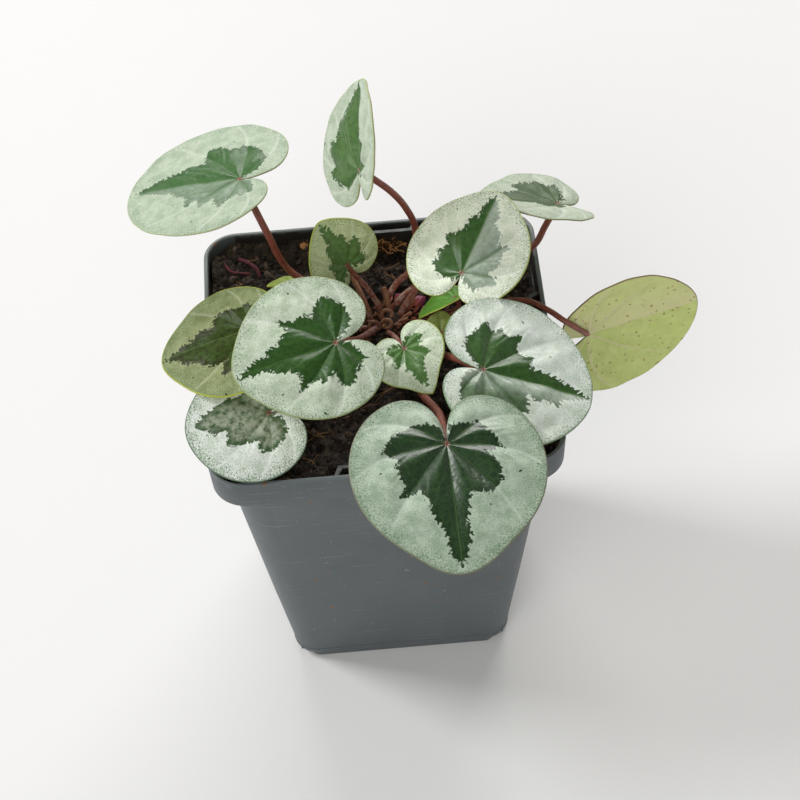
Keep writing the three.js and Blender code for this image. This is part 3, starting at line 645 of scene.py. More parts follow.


# %% [markdown]
# No two leaves have the same colour: the outer ones are silver over deep green, the ones at the
# back and left are olive, and the youngest are plain green. Each leaf has its own few colours.

# %% Dress the blades
# silver, its shade, mark, its shade, margin, how speckled and how shiny the leaf is, and the painted sheen on
# one half of its mark
LEAF_COLOURS = {
    "01": ("#b8c5ae", "#98ab91", "#3a662d", "#2a5323", "#a9b586", 0.8, 0.45, (-0.35, 30)),
    "02": ("#c0cbb8", "#a2b298", "#466c2c", "#335623", "#a4b174", 0.5, 0.4),
    "03": ("#d3dfae", "#b1c086", "#6a8c4b", "#50703a", "#b3bd4c", 0.8, 0.4),
    "04": ("#eaf1df", "#ccd8bd", "#3d662b", "#2b501e", "#a3ad45", 1.0, 0.8, (0.8, 30)),
    "05": ("#c9d3c0", "#a9b9a0", "#4a623c", "#3c5430", "#9aa77a", 0.8, 0.3),
    "06": ("#bccab6", "#9eb096", "#33602f", "#2a5029", "#8f9a62", 0.8, 0.5),
    "07": ("#cfdac6", "#aabca0", "#2f551d", "#234517", "#8f9c62", 1.0, 0.5),
    "08": ("#959f74", "#768153", "#374a1b", "#2c2f15", "#b3ba3e", 1.0, 0.12),
    "09": ("#f0f5ee", "#c2d2c0", "#a5ac99", "#35552f", "#3f5d3f", 1.4, 0.6),
    "10": ("#dde9d2", "#bdceaf", "#5f8a45", "#44702f", "#b4c560", 0.6, 0.75),
    "11": ("#e6eee4", "#c4d4c2", "#335a1f", "#274a18", "#5d7f4a", 1.0, 0.8, (0.85, 7)),
    "12": ("#b6c6b1", "#8fa48b", "#1b3d15", "#0f2c0c", "#6b6a4c", 1.3, 1.0),
    "13": ("#93aa2e", "#7c9328", "#6b8426", "#57721f", "#c3c94a", 0.3, 0.5),
    "14": ("#66a02c", "#529020", "#529020", "#437e1c", "#c6d25c", 0.0, 0.5),
    "15": ("#9cab58", "#86984c", "#7b9044", "#6c843c", "#a8a656", 0.3, 0.5),
}
underside = leaf_underside()
rng = np.random.default_rng(12)
for leaf_name, leaf in LEAVES.items():
    skin = leaf_skin(leaf_name, *LEAF_COLOURS[leaf_name])
    points, faces, sides, fields = blade_mesh(leaf_name, leaf, rng)
    piece("leaf_blade_" + leaf_name, points, faces, [skin, underside],
          ["blade_" + leaf_name], face_material=sides, fields=fields)
print("blades dressed:", len(LEAVES), "points in the last:", len(points))


# %% [markdown]
# A leaf stalk is a fleshy rod, a little thicker where it leaves the tuber and where it opens
# into the blade. It could be a curve object with a bevel, but a mesh tube can carry the distance
# along it, which the fine lengthwise streaks of the skin need.

# %% Tubes along a route
DOME = 0.5                           # how far the ends bulge, in radii


def smooth_route(points, step):
    """Points along the smooth curve through a route, about one step apart."""
    points = [np.array(p, dtype=float) for p in points]
    ends = [2 * points[0] - points[1]] + points + [2 * points[-1] - points[-2]]
    curve = []
    for p0, p1, p2, p3 in zip(ends, ends[1:], ends[2:], ends[3:]):
        d0, d1, d2 = (max(math.sqrt(np.linalg.norm(b - a)), 1e-3)
                      for a, b in ((p0, p1), (p1, p2), (p2, p3)))
        t1 = ((p1 - p0) / d0 - (p2 - p0) / (d0 + d1) + (p2 - p1) / d1) * d1
        t2 = ((p2 - p1) / d1 - (p3 - p1) / (d1 + d2) + (p3 - p2) / d2) * d1
        count = max(2, int(np.linalg.norm(p2 - p1) / step))
        for i in range(count):
            t = i / count
            curve.append(p1 + t1 * t + (3 * p2 - 3 * p1 - 2 * t1 - t2) * t ** 2
                         + (2 * p1 - 2 * p2 + t1 + t2) * t ** 3)
    curve.append(points[-1])
    return np.array(curve)


def tube(curve, radius, sides=14):
    """A closed tube with a radius or one for each point. Also gives the way along and the turn."""
    radius = np.full(len(curve), radius) if np.isscalar(radius) else np.asarray(radius, dtype=float)
    tangent = np.gradient(curve, axis=0)
    tangent /= np.linalg.norm(tangent, axis=1)[:, None]
    normal = np.cross(tangent[0], (0.3, 0.5, 0.8))
    normal /= np.linalg.norm(normal)
    rings, ways, run = [], [], 0.0
    turns = 2 * np.pi * np.arange(sides) / sides
    for i, (point, direction) in enumerate(zip(curve, tangent)):
        normal = normal - direction * (normal @ direction)
        normal /= np.linalg.norm(normal)
        other = np.cross(direction, normal)
        if i:
            run += np.linalg.norm(point - curve[i - 1])
        rings.append(point + radius[i] * (np.cos(turns)[:, None] * normal + np.sin(turns)[:, None] * other))
        ways.append(np.full(sides, run))
    points = np.vstack(rings + [curve[0][None] - tangent[0] * radius[0] * DOME,
                                curve[-1][None] + tangent[-1] * radius[-1] * DOME])
    faces = []
    for i in range(len(curve) - 1):
        for j in range(sides):
            k = (j + 1) % sides
            faces.append((i * sides + j, i * sides + k, (i + 1) * sides + k, (i + 1) * sides + j))
    first, last = len(points) - 2, len(points) - 1
    end = (len(curve) - 1) * sides
    for j in range(sides):
        k = (j + 1) % sides
        faces.append((first, k, j))
        faces.append((last, end + j, end + k))
    way = np.concatenate(ways + [[0, run]])
    turn_of = np.concatenate([np.tile(turns, len(curve)), [0, 0]])
    return points, faces, way, turn_of


# %% [markdown]
# Stalk skin is reddish brown with fine lengthwise streaks and a soft gloss. The streaks come
# from noise that is stretched along the stalk, about 0.3 mm wide, and the foot is greyer where
# it rubs on the soil.

# %% Stalk skin
def stalk_skin(name, colour, streak, foot):
    material, tree, shader = new_material(name, 0.42, 1.45)
    way = add(tree, "Attribute", {"attribute_name": "way"}, "Vector")
    along = add(tree, "SeparateXYZ", {0: way}, "Z")
    streaks = add(tree, "TexNoise", {"Vector": way, "Scale": 2.6, "Detail": 4.0, "Roughness": 0.6})
    skin = lay(tree, colour, streak, streaks, 0.36, 0.66)
    # the old skin near the crown is grey and warty
    old = add(tree, "MapRange", {"interpolation_type": "SMOOTHSTEP", "Value": along, "From Min": 0.9,
                                 "From Max": 3.6, "To Min": 1.0, "To Max": 0.0})
    place = add(tree, "TexCoord", {}, "Object")
    warts = add(tree, "TexNoise", {"Vector": place, "Scale": 900.0, "Detail": 4.0, "Roughness": 0.7})
    skin = lay(tree, skin, foot, warts, 0.46, 0.60, 0.05, 0.85, old)
    relief = add(tree, "Math", {"operation": "MULTIPLY_ADD", 0: warts, 1: old, 2: streaks})
    surface(tree, shader, skin, 0.6, 0.0003, relief)
    return material


def streak_field(way, turn, radius):
    """Where a point lies on the tube: round it in millimetres, and stretched out along it."""
    return np.column_stack([radius * np.cos(turn) * 1.6, radius * np.sin(turn) * 1.6, way * 0.16])


# %% [markdown]
# Every stalk starts a little inside the crown of the tuber, so that no gap shows where it comes
# out, and ends in the joint of its blade. It thickens at both ends.

# %% Stalks
CROWN_MIDDLE = (3, 11.5)
SINK = 3.5                           # millimetres that the foot lies below the first place
red_brown = stalk_skin("fleshy_stalk_skin", "#965445", "#6a392e", "#b09386")
for leaf_name, leaf in LEAVES.items():
    first = leaf["route"][0]
    root = (first[0] * 0.8 + CROWN_MIDDLE[0] * 0.2, first[1] * 0.8 + CROWN_MIDDLE[1] * 0.2, first[2] - SINK)
    curve = smooth_route([root, *leaf["route"], leaf["joint"]], 0.7)
    share = np.linspace(0, 1, len(curve))
    girth = leaf["stalk"] * (0.96 + 0.16 * np.exp(-share / 0.12) + 0.10 * np.exp(-(1 - share) / 0.03))
    girth[-2:] *= (0.8, 0.5)
    points, faces, way, turn = tube(curve, girth)
    piece("leaf_stalk_" + leaf_name, points, faces, [red_brown], ["stalk_" + leaf_name],
          fields={"way": streak_field(way, turn, leaf["stalk"])})
print("stalks:", len(LEAVES))

# %% [markdown]
# The pot is injection-moulded polypropylene, dark grey from recycled stock: a thin wall with a
# broad band round the rim, round corners, and a foot whose corners are raised for drainage. It
# is lofted from square rings with round corners, and the corners of the foot are then cut out.

# %% Pot shape
RIM_WIDTH, POT_HEIGHT, BASE_WIDTH = 90, 96, 60
WALL, FLOOR = 1.2, 1.4
BAND_HEIGHT, BAND_STEP, BAND_DRAFT = 8.6, 3.6, 0.4
RIM_CORNER, WALL_CORNER, BASE_CORNER = 9, 11, 6.5
FOOT_RECESS, RECESS_SIZE = 2.2, 9.5
DRAIN_SLOT = (3.2, 7)
POCKET_WIDTH, POCKET_DEPTH, POCKET_STRAP, POCKET_HEIGHT = 28, 3.2, 1, 3.6
BAND_BOTTOM = POT_HEIGHT - BAND_HEIGHT
CORNER_STEPS, SIDE_STEPS = 14, 8
FILLET, FILLET_STEPS = 0.45, 4


def wall_half(height):
    return BASE_WIDTH / 2 + (RIM_WIDTH / 2 - BAND_STEP - BASE_WIDTH / 2) * height / BAND_BOTTOM


def square_ring(half, corner, height):
    """Points round a square with round corners."""
    points = []
    reach = half - corner
    for quarter in range(4):
        middle = (quarter + 0.5) * math.pi / 2
        centre = np.array([math.copysign(reach, math.cos(middle)), math.copysign(reach, math.sin(middle))])
        for i in range(CORNER_STEPS + 1):
            angle = (quarter + i / CORNER_STEPS) * math.pi / 2
            points.append(centre + corner * np.array([math.cos(angle), math.sin(angle)]))
        angle = (quarter + 1) * math.pi / 2
        following = middle + math.pi / 2
        next_centre = np.array([math.copysign(reach, math.cos(following)),
                                math.copysign(reach, math.sin(following))])
        stop = next_centre + corner * np.array([math.cos(angle), math.sin(angle)])
        start = points[-1]
        for i in range(1, SIDE_STEPS):
            points.append(start + (stop - start) * i / SIDE_STEPS)
    return np.column_stack([np.array(points), np.full(len(points), float(height))])


def loft(first, rings, last):
    """A closed skin over rings of points with a point at either end."""
    around = len(rings[0])
    points = np.vstack([np.array([first], dtype=float), *rings, np.array([last], dtype=float)])
    faces = []
    for j in range(around):
        k = (j + 1) % around
        faces.append((0, 1 + k, 1 + j))
        for i in range(len(rings) - 1):
            low, high = 1 + i * around, 1 + (i + 1) * around
            faces.append((low + j, low + k, high + k, high + j))
        top = 1 + (len(rings) - 1) * around
        faces.append((top + j, top + k, len(points) - 1))
    return points, faces


def fillet(half, corner, height, upper):
    """Rings that round the upper or the lower edge of the band, from below."""
    rings = []
    for i in range(FILLET_STEPS + 1):
        angle = i / FILLET_STEPS * math.pi / 2
        shift = FILLET * (1 - (math.cos(angle) if upper else math.sin(angle)))
        lift = FILLET * (math.sin(angle) if upper else 1 - math.cos(angle))
        rings.append(square_ring(half - shift, corner - shift, height + lift))
    return rings


# %% [markdown]
# The skin goes up the outside from the middle of the foot, over the lip and down the inside to
# the floor, as one list of rings. Both edges of the band are rounded by 0.45 mm.

# %% Pot rings
outside = [
    square_ring(wall_half(0) - 1.2, BASE_CORNER - 1.2, 0),
    square_ring(wall_half(0) - 0.3, BASE_CORNER - 0.3, 0.1),
    square_ring(wall_half(0), BASE_CORNER, 0.5),
    square_ring(wall_half(3.6), BASE_CORNER + 0.2, 3.6),
    square_ring(wall_half(3.8) - 0.18, BASE_CORNER + 0.1, 3.8),
    *(square_ring(wall_half(z), BASE_CORNER + (WALL_CORNER - BASE_CORNER) * z / BAND_BOTTOM, z)
      for z in (30, 60)),
    square_ring(wall_half(BAND_BOTTOM - 0.6), WALL_CORNER, BAND_BOTTOM - 0.6),
    square_ring(wall_half(BAND_BOTTOM) + 0.4, WALL_CORNER, BAND_BOTTOM),
    *fillet(RIM_WIDTH / 2 - BAND_DRAFT, RIM_CORNER, BAND_BOTTOM, False),
    *fillet(RIM_WIDTH / 2, RIM_CORNER, POT_HEIGHT - FILLET, True),
]
inside = [
    square_ring(RIM_WIDTH / 2 - WALL + 0.25, RIM_CORNER - WALL, POT_HEIGHT),
    square_ring(RIM_WIDTH / 2 - WALL, RIM_CORNER - WALL, POT_HEIGHT - 0.3),
    square_ring(RIM_WIDTH / 2 - BAND_DRAFT - WALL, RIM_CORNER - WALL, BAND_BOTTOM + WALL + 0.3),
    square_ring(wall_half(BAND_BOTTOM) - WALL, WALL_CORNER - WALL, BAND_BOTTOM + WALL),
    square_ring(wall_half(FLOOR) - WALL, BASE_CORNER - WALL, FLOOR),
]
pot_points, pot_faces = loft((0, 0, 0), outside + inside, (0, 0, FLOOR))
print("pot rings:", len(outside) + len(inside), "points:", len(pot_points))


# %% [markdown]
# Recycled polypropylene comes out of the mould satin and a little cloudy, and a nursery pot
# gathers scuffs, dust and splashes of peat. Its scale is set by what the eye sees from
# half a metre: clouds of about 20 mm, scuffs of 4 mm and crumbs under 1 mm.

# %% Pot material
def moulded_plastic():
    """Polypropylene moulded from recycled stock: satin, faintly clouded, scuffed and dusty."""
    material, tree, shader = new_material("moulded_recycled_polypropylene", 0.46, 1.49)
    place = add(tree, "TexCoord", {}, "Object")
    height = add(tree, "SeparateXYZ", {0: place}, "Z")
    inside = add(tree, "Attribute", {"attribute_name": "inside"}, "Fac")
    level = add(tree, "VectorMath", {"operation": "MULTIPLY", 0: place, 1: (60.0, 60.0, 1500.0)})
    cloud, dust, scratches, specks = (
        add(tree, "TexNoise", {"Vector": vector, "Scale": scale, "Detail": detail, "Roughness": roughness})
        for vector, scale, detail, roughness in ((place, 45.0, 5.0, 0.6), (place, 260.0, 6.0, 0.7),
                                                 (level, 1.0, 3.0, 0.6), (place, 520.0, 3.0, 0.6)))
    skin = add(tree, "Mix", {"data_type": "RGBA", 0: cloud, MIX_A: linear("#4c5356"), MIX_B: linear("#5f6668")},
               MIX_OUT)
    # dust, short level scratches from stacking, pale specks, and a painted highlight along the top of the lip
    for colour, value, low, high, most in (
            ("#767b7a", dust, 0.58, 0.74, 0.5), ("#868c8c", scratches, 0.62, 0.74, 0.6),
            ("#9aa0a0", specks, 0.69, 0.76, 0.6), ("#767d80", height, 0.0954, 0.0959, 0.4)):
        skin = lay(tree, skin, colour, value, low, high, 0.0, most)
    # peat clings to the inside above the soil, and a few crumbs stick outside
    cling = add(tree, "Math", {"operation": "MULTIPLY_ADD", 0: height, 1: -260.0, 2: 25.3})
    cling = add(tree, "Math", {"operation": "ADD", 0: cling, 1: dust})
    skin = lay(tree, skin, "#241e1a", cling, 0.8, 1.1, 0.0, 0.92, inside)
    crumbs = add(tree, "TexVoronoi", {"Vector": place, "Scale": 105.0}, "Distance")
    skin = lay(tree, skin, "#7c5a44", crumbs, 0.05, 0.085, 0.8, 0.0)
    scuffs = add(tree, "MapRange", {"Value": dust, "To Min": 0.38, "To Max": 0.58})
    tree.links.new(scuffs, shader.inputs["Roughness"])
    surface(tree, shader, skin, 0.12, 0.0002, cloud)
    return material


# %% [markdown]
# The pads, the cutters and the label pockets are plain solids. Many small solids can be joined
# into one mesh, and an object that only serves a cut is thrown away after it.

# %% Helpers for solids
def box_mesh(size, centre, turn=0.0):
    """A box, turned about the vertical."""
    corners = np.array([(x, y, z) for x in (-.5, .5) for y in (-.5, .5) for z in (-.5, .5)]) * size
    c, s = math.cos(turn), math.sin(turn)
    corners = corners @ np.array([[c, s, 0], [-s, c, 0], [0, 0, 1]]) + centre
    faces = [(0, 1, 3, 2), (4, 6, 7, 5), (0, 4, 5, 1), (2, 3, 7, 6), (0, 2, 6, 4), (1, 5, 7, 3)]
    return corners, faces


def join(parts):
    """One list of points and one of faces for several solids."""
    points, faces, start = [], [], 0
    for part_points, part_faces in parts:
        points.append(part_points)
        faces += [tuple(i + start for i in f) for f in part_faces]
        start += len(part_points)
    return np.vstack(points), faces


def scratch_object(name, parts):
    """An object that is only used for a cut."""
    points, faces = join(parts)
    mesh = bpy.data.meshes.new(name)
    mesh.from_pydata((points * MM).tolist(), [], faces)
    obj = bpy.data.objects.new(name, mesh)
    bpy.context.scene.collection.objects.link(obj)
    return obj


# %% [markdown]
# The label pockets are straps bent out from the inside of the band, one in the middle of each
# side, which a plant label slides behind. They are joined to the rim in the same boolean.

# %% Label pockets
def label_pocket(turn):
    half, root = POCKET_WIDTH / 2, 0.8
    wall_face = RIM_WIDTH / 2 - WALL
    outer = [(-half, root), (-half + POCKET_DEPTH / 2, -POCKET_DEPTH),
             (half - POCKET_DEPTH / 2, -POCKET_DEPTH), (half, root)]
    inner = [(half - POCKET_STRAP, root),
             (half - POCKET_DEPTH / 2 - POCKET_STRAP, POCKET_STRAP - POCKET_DEPTH),
             (-half + POCKET_DEPTH / 2 + POCKET_STRAP, POCKET_STRAP - POCKET_DEPTH),
             (-half + POCKET_STRAP, root)]
    plan = np.array(outer + inner) + (0, wall_face)
    c, s = math.cos(turn), math.sin(turn)
    plan = plan @ np.array([[c, s], [-s, c]])
    top = POT_HEIGHT - 0.4
    points = np.vstack([np.column_stack([plan, np.full(8, z)]) for z in (top - POCKET_HEIGHT, top)])
    faces = []
    for a, b in ((0, 1), (1, 2), (2, 3)):
        c0, d0 = 7 - a, 7 - b
        faces.append((a, b, d0, c0))
        faces.append((a + 8, c0 + 8, d0 + 8, b + 8))
    for j in range(8):
        k = (j + 1) % 8
        faces.append((j, j + 8, k + 8, k))
    return points, faces


# %% [markdown]
# The raised corners of the foot, their drain slots and the label pockets are joined and cut with
# a boolean, as a toolmaker cuts the mould. The cutters are thrown away.

# %% Pot object
step = wall_half(0) - RECESS_SIZE / 2
pad_width, pad_top = RECESS_SIZE + WALL, FOOT_RECESS + FLOOR
pads, recesses = [], []
for sx in (-1, 1):
    for sy in (-1, 1):
        pads.append(box_mesh((pad_width - 1.4, pad_width - 1.4, pad_top - 0.1),
                             (sx * (step - WALL / 2 - 0.7), sy * (step - WALL / 2 - 0.7), pad_top / 2 + 0.05)))
        recesses.append(box_mesh((RECESS_SIZE, RECESS_SIZE, 2 * FOOT_RECESS), (sx * step, sy * step, 0)))
        recesses.append(box_mesh((*DRAIN_SLOT, 4 * pad_top), (sx * (step - 1), sy * (step - 1), 0),
                                 sx * sy * math.radians(-45)))
pockets = [label_pocket(quarter * math.pi / 2) for quarter in range(4)]
pot_solid = scratch_object("pot_solid", [(pot_points, pot_faces)])
for label, parts, operation in (("pads", pads, "UNION"), ("pockets", pockets, "UNION"),
                                ("recesses", recesses, "DIFFERENCE")):
    cutter = scratch_object(label, parts)
    cut = pot_solid.modifiers.new(label, "BOOLEAN")
    cut.object = cutter
    cut.operation = operation
    cut.solver = "EXACT"
    cut.use_self = True
cut_mesh = bpy.data.meshes.new_from_object(pot_solid.evaluated_get(bpy.context.evaluated_depsgraph_get()))
points = np.array([v.co[:] for v in cut_mesh.vertices]) / MM
faces = [tuple(p.vertices) for p in cut_mesh.polygons]
for name in ("pot_solid", "pads", "pockets", "recesses"):
    bpy.data.objects.remove(bpy.data.objects[name])
polypropylene = moulded_plastic()
reach = np.maximum(np.abs(points[:, 0]), np.abs(points[:, 1]))
in_band = points[:, 2] > BAND_BOTTOM
wall_line = np.where(in_band, RIM_WIDTH / 2 - BAND_DRAFT, wall_half(points[:, 2])) - 0.6 * WALL
round_corner = np.hypot(*(np.maximum(np.abs(points[:, i]) - wall_line + RIM_CORNER, 0) for i in (0, 1)))
inside = ((reach < wall_line) & (round_corner < RIM_CORNER)).astype(float)
pot = piece("nursery_pot", points, faces, [polypropylene], ["pot"], fields={"inside": inside})
pot.data.set_sharp_from_angle(angle=math.radians(32))
print("pot faces:", len(faces))

# %% [markdown]
# The growing medium is dark peat. Its top is one fine uneven surface, with thousands of loose
# crumbs, some bark chips and fibres on it. Solid crumbs look right from every side, which a
# bump in the material would not, and they cost little because each has only a few faces.

# %% Peat material
SOIL_TOP, SOIL_BOTTOM, SOIL_GAP = 90, 4.4, 0.3


def peat(name, dark, pale, fleck):
    material, tree, shader = new_material(name, 0.88, 1.4)
    place = add(tree, "TexCoord", {}, "Object")
    tone = add(tree, "Attribute", {"attribute_name": "tone"}, "Fac")
    cloud = add(tree, "TexNoise", {"Vector": place, "Scale": 420.0, "Detail": 6.0, "Roughness": 0.65})
    level = add(tree, "Math", {"operation": "ADD", 0: cloud, 1: tone})
    skin = lay(tree, dark, pale, level, 0.42, 1.05)
    flecks = add(tree, "TexVoronoi", {"Vector": place, "Scale": 520.0}, "Distance")
    skin = lay(tree, skin, fleck, flecks, 0.10, 0.16, 0.55, 0.0)
    surface(tree, shader, skin, 0.7, 0.0004, cloud)
    return material


def in_round_square(u, v, half, corner):
    """Places u and v, from -1 to 1, inside a square with round corners."""
    x, y = u * half, v * half
    reach = half - corner
    cu, cv = (np.abs(x) - reach) / corner, (np.abs(y) - reach) / corner
    bend = (cu > 0) & (cv > 0)
    safe_u, safe_v = np.clip(cu, 0, 1), np.clip(cv, 0, 1)
    bx = np.sign(x) * (reach + corner * safe_u * np.sqrt(1 - safe_v ** 2 / 2))
    by = np.sign(y) * (reach + corner * safe_v * np.sqrt(1 - safe_u ** 2 / 2))
    return np.where(bend, bx, x), np.where(bend, by, y)


# %% [markdown]
# The peat fills the pot as one closed block. Its top is not level: there are gentle hills, banks
# along two walls, and clods and grit that come from seeded noise.

# %% Peat surface
SOIL_CELLS = 200                     # each way
BANK = 2.6                           # millimetres that it stands higher at the left and back walls
top_half = RIM_WIDTH / 2 - BAND_DRAFT - WALL - SOIL_GAP


def soil_height(x, y):
    """The gentle hills of the packed soil, in millimetres."""
    waves = ((0.21, 0.05, 1.3), (-0.08, 0.27, 0.4), (0.36, -0.31, 2.2), (0.17, 0.49, 4.1), (0.61, 0.13, 0.9))
    rise = sum(np.sin(kx * x + ky * y + phase) / (1 + 0.5 * i) for i, (kx, ky, phase) in enumerate(waves))
    to_wall = top_half - np.maximum(-x, y)
    bank = BANK * np.exp(-(to_wall / 3.4) ** 2)
    return SOIL_TOP + 1.1 * rise / 2 + bank


def crumble(x, y):
    """Clods and pits a few millimetres across, over finer grit."""
    clods = noise.fractal(Vector((x * 0.33, y * 0.33, 3.0)), 0.7, 2.1, 5)
    cells = noise.voronoi(Vector((x * 0.62, y * 0.62, 1.0)))[0]
    return 0.8 * clods + 0.9 * (cells[0] - 0.35)


# %% [markdown]
# The top is a grid that is bent to the pot's round corners and raised by those hills and clods.
# Rings under its edge follow the wall down to the floor and close the block.

# %% Peat block
u, v = np.meshgrid(np.linspace(-1, 1, SOIL_CELLS + 1), np.linspace(-1, 1, SOIL_CELLS + 1))
u, v = u.ravel(), v.ravel()
x, y = in_round_square(u, v, top_half, RIM_CORNER - WALL)
z = soil_height(x, y) + np.array([crumble(a, b) for a, b in zip(x, y)])
rows = SOIL_CELLS + 1
faces = []
for i in range(SOIL_CELLS):
    for j in range(SOIL_CELLS):
        a = i * rows + j
        faces.append((a, a + 1, a + rows + 1, a + rows))
rim = ([j for j in range(rows - 1)] + [i * rows + rows - 1 for i in range(rows - 1)]
       + [(rows - 1) * rows + j for j in range(rows - 1, 0, -1)] + [i * rows for i in range(rows - 1, 0, -1)])
rim_u, rim_v = u[rim], v[rim]
points = [np.column_stack([x, y, z])]
levels = [(top_half, RIM_CORNER - WALL, BAND_BOTTOM + WALL + SOIL_GAP),
          (wall_half(BAND_BOTTOM) - WALL - SOIL_GAP, WALL_CORNER - WALL, BAND_BOTTOM + WALL),
          (wall_half(SOIL_BOTTOM) - WALL - SOIL_GAP, BASE_CORNER, SOIL_BOTTOM)]
last = np.array(rim)
start = len(x)
for half, corner, level in levels:
    rx, ry = in_round_square(rim_u, rim_v, half, corner)
    points.append(np.column_stack([rx, ry, np.full(len(rx), level)]))
    ring = start + np.arange(len(rim))
    for j in range(len(rim)):
        k = (j + 1) % len(rim)
        faces.append((int(last[j]), int(ring[j]), int(ring[k]), int(last[k])))
    last = ring
    start += len(rim)
points.append(np.array([[0, 0, SOIL_BOTTOM]]))
faces += [(start, int(last[(j + 1) % len(rim)]), int(last[j])) for j in range(len(rim))]
points = np.vstack(points)
print("soil points:", len(points))

# %% [markdown]
# The loose crumbs are balls of twenty faces, each squashed, roughened and turned by a seeded
# draw. Most are small and a few are large, as in sieved peat.

# %% Crumbs on the peat
CRUMBS = 3600
ICO = (1 + 5 ** 0.5) / 2
ICO_POINTS = np.array([(-1, ICO, 0), (1, ICO, 0), (-1, -ICO, 0), (1, -ICO, 0), (0, -1, ICO), (0, 1, ICO),
                       (0, -1, -ICO), (0, 1, -ICO), (ICO, 0, -1), (ICO, 0, 1), (-ICO, 0, -1), (-ICO, 0, 1)])
ICO_POINTS /= np.linalg.norm(ICO_POINTS[0])
ICO_FACES = ((0, 11, 5), (0, 5, 1), (0, 1, 7), (0, 7, 10), (0, 10, 11), (1, 5, 9), (5, 11, 4), (11, 10, 2),
             (10, 7, 6), (7, 1, 8), (3, 9, 4), (3, 4, 2), (3, 2, 6), (3, 6, 8), (3, 8, 9), (4, 9, 5),
             (2, 4, 11), (6, 2, 10), (8, 6, 7), (9, 8, 1))


def random_turn(rng):
    a, b, c, d = rng.normal(size=4)
    n = math.sqrt(a * a + b * b + c * c + d * d)
    a, b, c, d = a / n, b / n, c / n, d / n
    return np.array([[1 - 2 * (c * c + d * d), 2 * (b * c - a * d), 2 * (b * d + a * c)],
                     [2 * (b * c + a * d), 1 - 2 * (b * b + d * d), 2 * (c * d - a * b)],
                     [2 * (b * d - a * c), 2 * (c * d + a * b), 1 - 2 * (b * b + c * c)]])


rng = np.random.default_rng(5)
parts, tones = [(points, faces)], [np.full(len(points), 0.1)]
for _ in range(CRUMBS):
    cu, cv = rng.uniform(-0.985, 0.985, 2)
    cx, cy = in_round_square(np.array([cu]), np.array([cv]), top_half - 0.8, RIM_CORNER - WALL)
    size = 0.28 + 1.15 * rng.random() ** 4
    squash = rng.uniform(0.55, 1.2, 3) * size
    lump = (ICO_POINTS * (1 + 0.22 * rng.standard_normal((12, 1)))) * squash @ random_turn(rng)
    level = soil_height(cx[0], cy[0]) + crumble(cx[0], cy[0]) + size * 0.25
    parts.append((lump + (cx[0], cy[0], level), ICO_FACES))
    tones.append(np.full(12, rng.uniform(-0.15, 0.6) * rng.random()))
points, faces = join(parts)
peat_dark = peat("damp_peat", "#1d1917", "#554840", "#84634a")
piece("peat_surface", points, faces, [peat_dark], ["soil"], smooth=False,
      fields={"tone": np.concatenate(tones)})
print("crumbs:", len(parts) - 1)

# %% [markdown]
# On the peat lie the fibres of the moss and sedge that it is made of, 3 to 9 mm long. Each one is
# a thin tube along a short bent route that follows the ground.

# %% Fibres
FIBRES = 150
FIBRE_LIMIT = 40                     # millimetres from the middle, so that none passes the wall
rng = np.random.default_rng(8)
parts = []
for _ in range(FIBRES):
    cu, cv = rng.uniform(-0.95, 0.95, 2)
    cx, cy = (c[0] for c in in_round_square(np.array([cu]), np.array([cv]), top_half - 2, RIM_CORNER - WALL))
    heading = rng.uniform(0, 2 * math.pi)
    length = rng.uniform(2.5, 9)
    bend = rng.normal(0, 0.6)
    route = []
    for share in (-0.5, -0.2, 0.2, 0.5):
        direction = heading + bend * share
        px, py = cx + length * share * math.cos(direction), cy + length * share * math.sin(direction)
        px, py = (max(-FIBRE_LIMIT, min(FIBRE_LIMIT, p)) for p in (px, py))
        route.append((px, py, float(soil_height(px, py) + crumble(px, py) + rng.uniform(0.1, 0.7))))
    parts.append(tube(smooth_route(route, 0.7), rng.uniform(0.06, 0.17), sides=6)[:2])
points, faces = join(parts)
fibre = peat("peat_fibre", "#4a3424", "#8a6a4a", "#a98a62")
piece("peat_fibres", points, faces, [fibre], [], fields={"tone": np.full(len(points), 0.3)})
print("fibres:", len(parts))

# %% [markdown]
# By the back wall lies a tuft of orange coir, the husk fibre that is mixed into peat to keep it
# open, and near it a few chips of bark.

# %% Coir tuft and chips
STRANDS = 90
TUFT_MIDDLE = np.array([4.9, 39.9, 91.9])
parts, tones = [], []
for _ in range(STRANDS):
    place = TUFT_MIDDLE + rng.normal(0, 1, 3) * (1.5, 1.3, 0.6)
    place[1] = min(place[1], 41.6)
    along = rng.normal(0, 1, 3) * (1, 0.8, 0.6)
    along *= rng.uniform(0.8, 2.4) / np.linalg.norm(along)
    curve = smooth_route([place - along / 2, place + rng.normal(0, 0.25, 3), place + along / 2], 0.35)
    curve[:, 1] = np.minimum(curve[:, 1], 42.0)
    parts.append(tube(curve, rng.uniform(0.09, 0.22), sides=6)[:2])
    tones.append(np.full(len(parts[-1][0]), rng.uniform(-0.3, 0.9)))
# middle, size and tone
CHIPS = (((-17.7, 41.2, 92.6), (1.3, 1, 1), 0.8), ((-15.6, 40.4, 91.6), (0.7, 1.2, 0.8), 0.2),
         ((3.9, 41, 91.4), (1, 0.5, 0.6), 0.7), ((-24, 30.6, 91.2), (0.6, 0.4, 0.4), 0.9),
         ((9.6, 40.2, 91), (0.8, 0.6, 0.5), 0.5))
for centre, size, tone in CHIPS:
    parts.append((ICO_POINTS * (1 + 0.15 * rng.standard_normal((12, 1))) * size + centre, ICO_FACES))
    tones.append(np.full(12, tone))
points, faces = join(parts)
coir = peat("orange_coir", "#3c281b", "#b98558", "#caa074")
piece("coir_and_chips", points, faces, [coir], [], fields={"tone": np.concatenate(tones)})
print("tuft and chips:", len(parts))

# %% [markdown]
# Two pinkish roots lie on the peat at the left, thin tubes about a millimetre across.

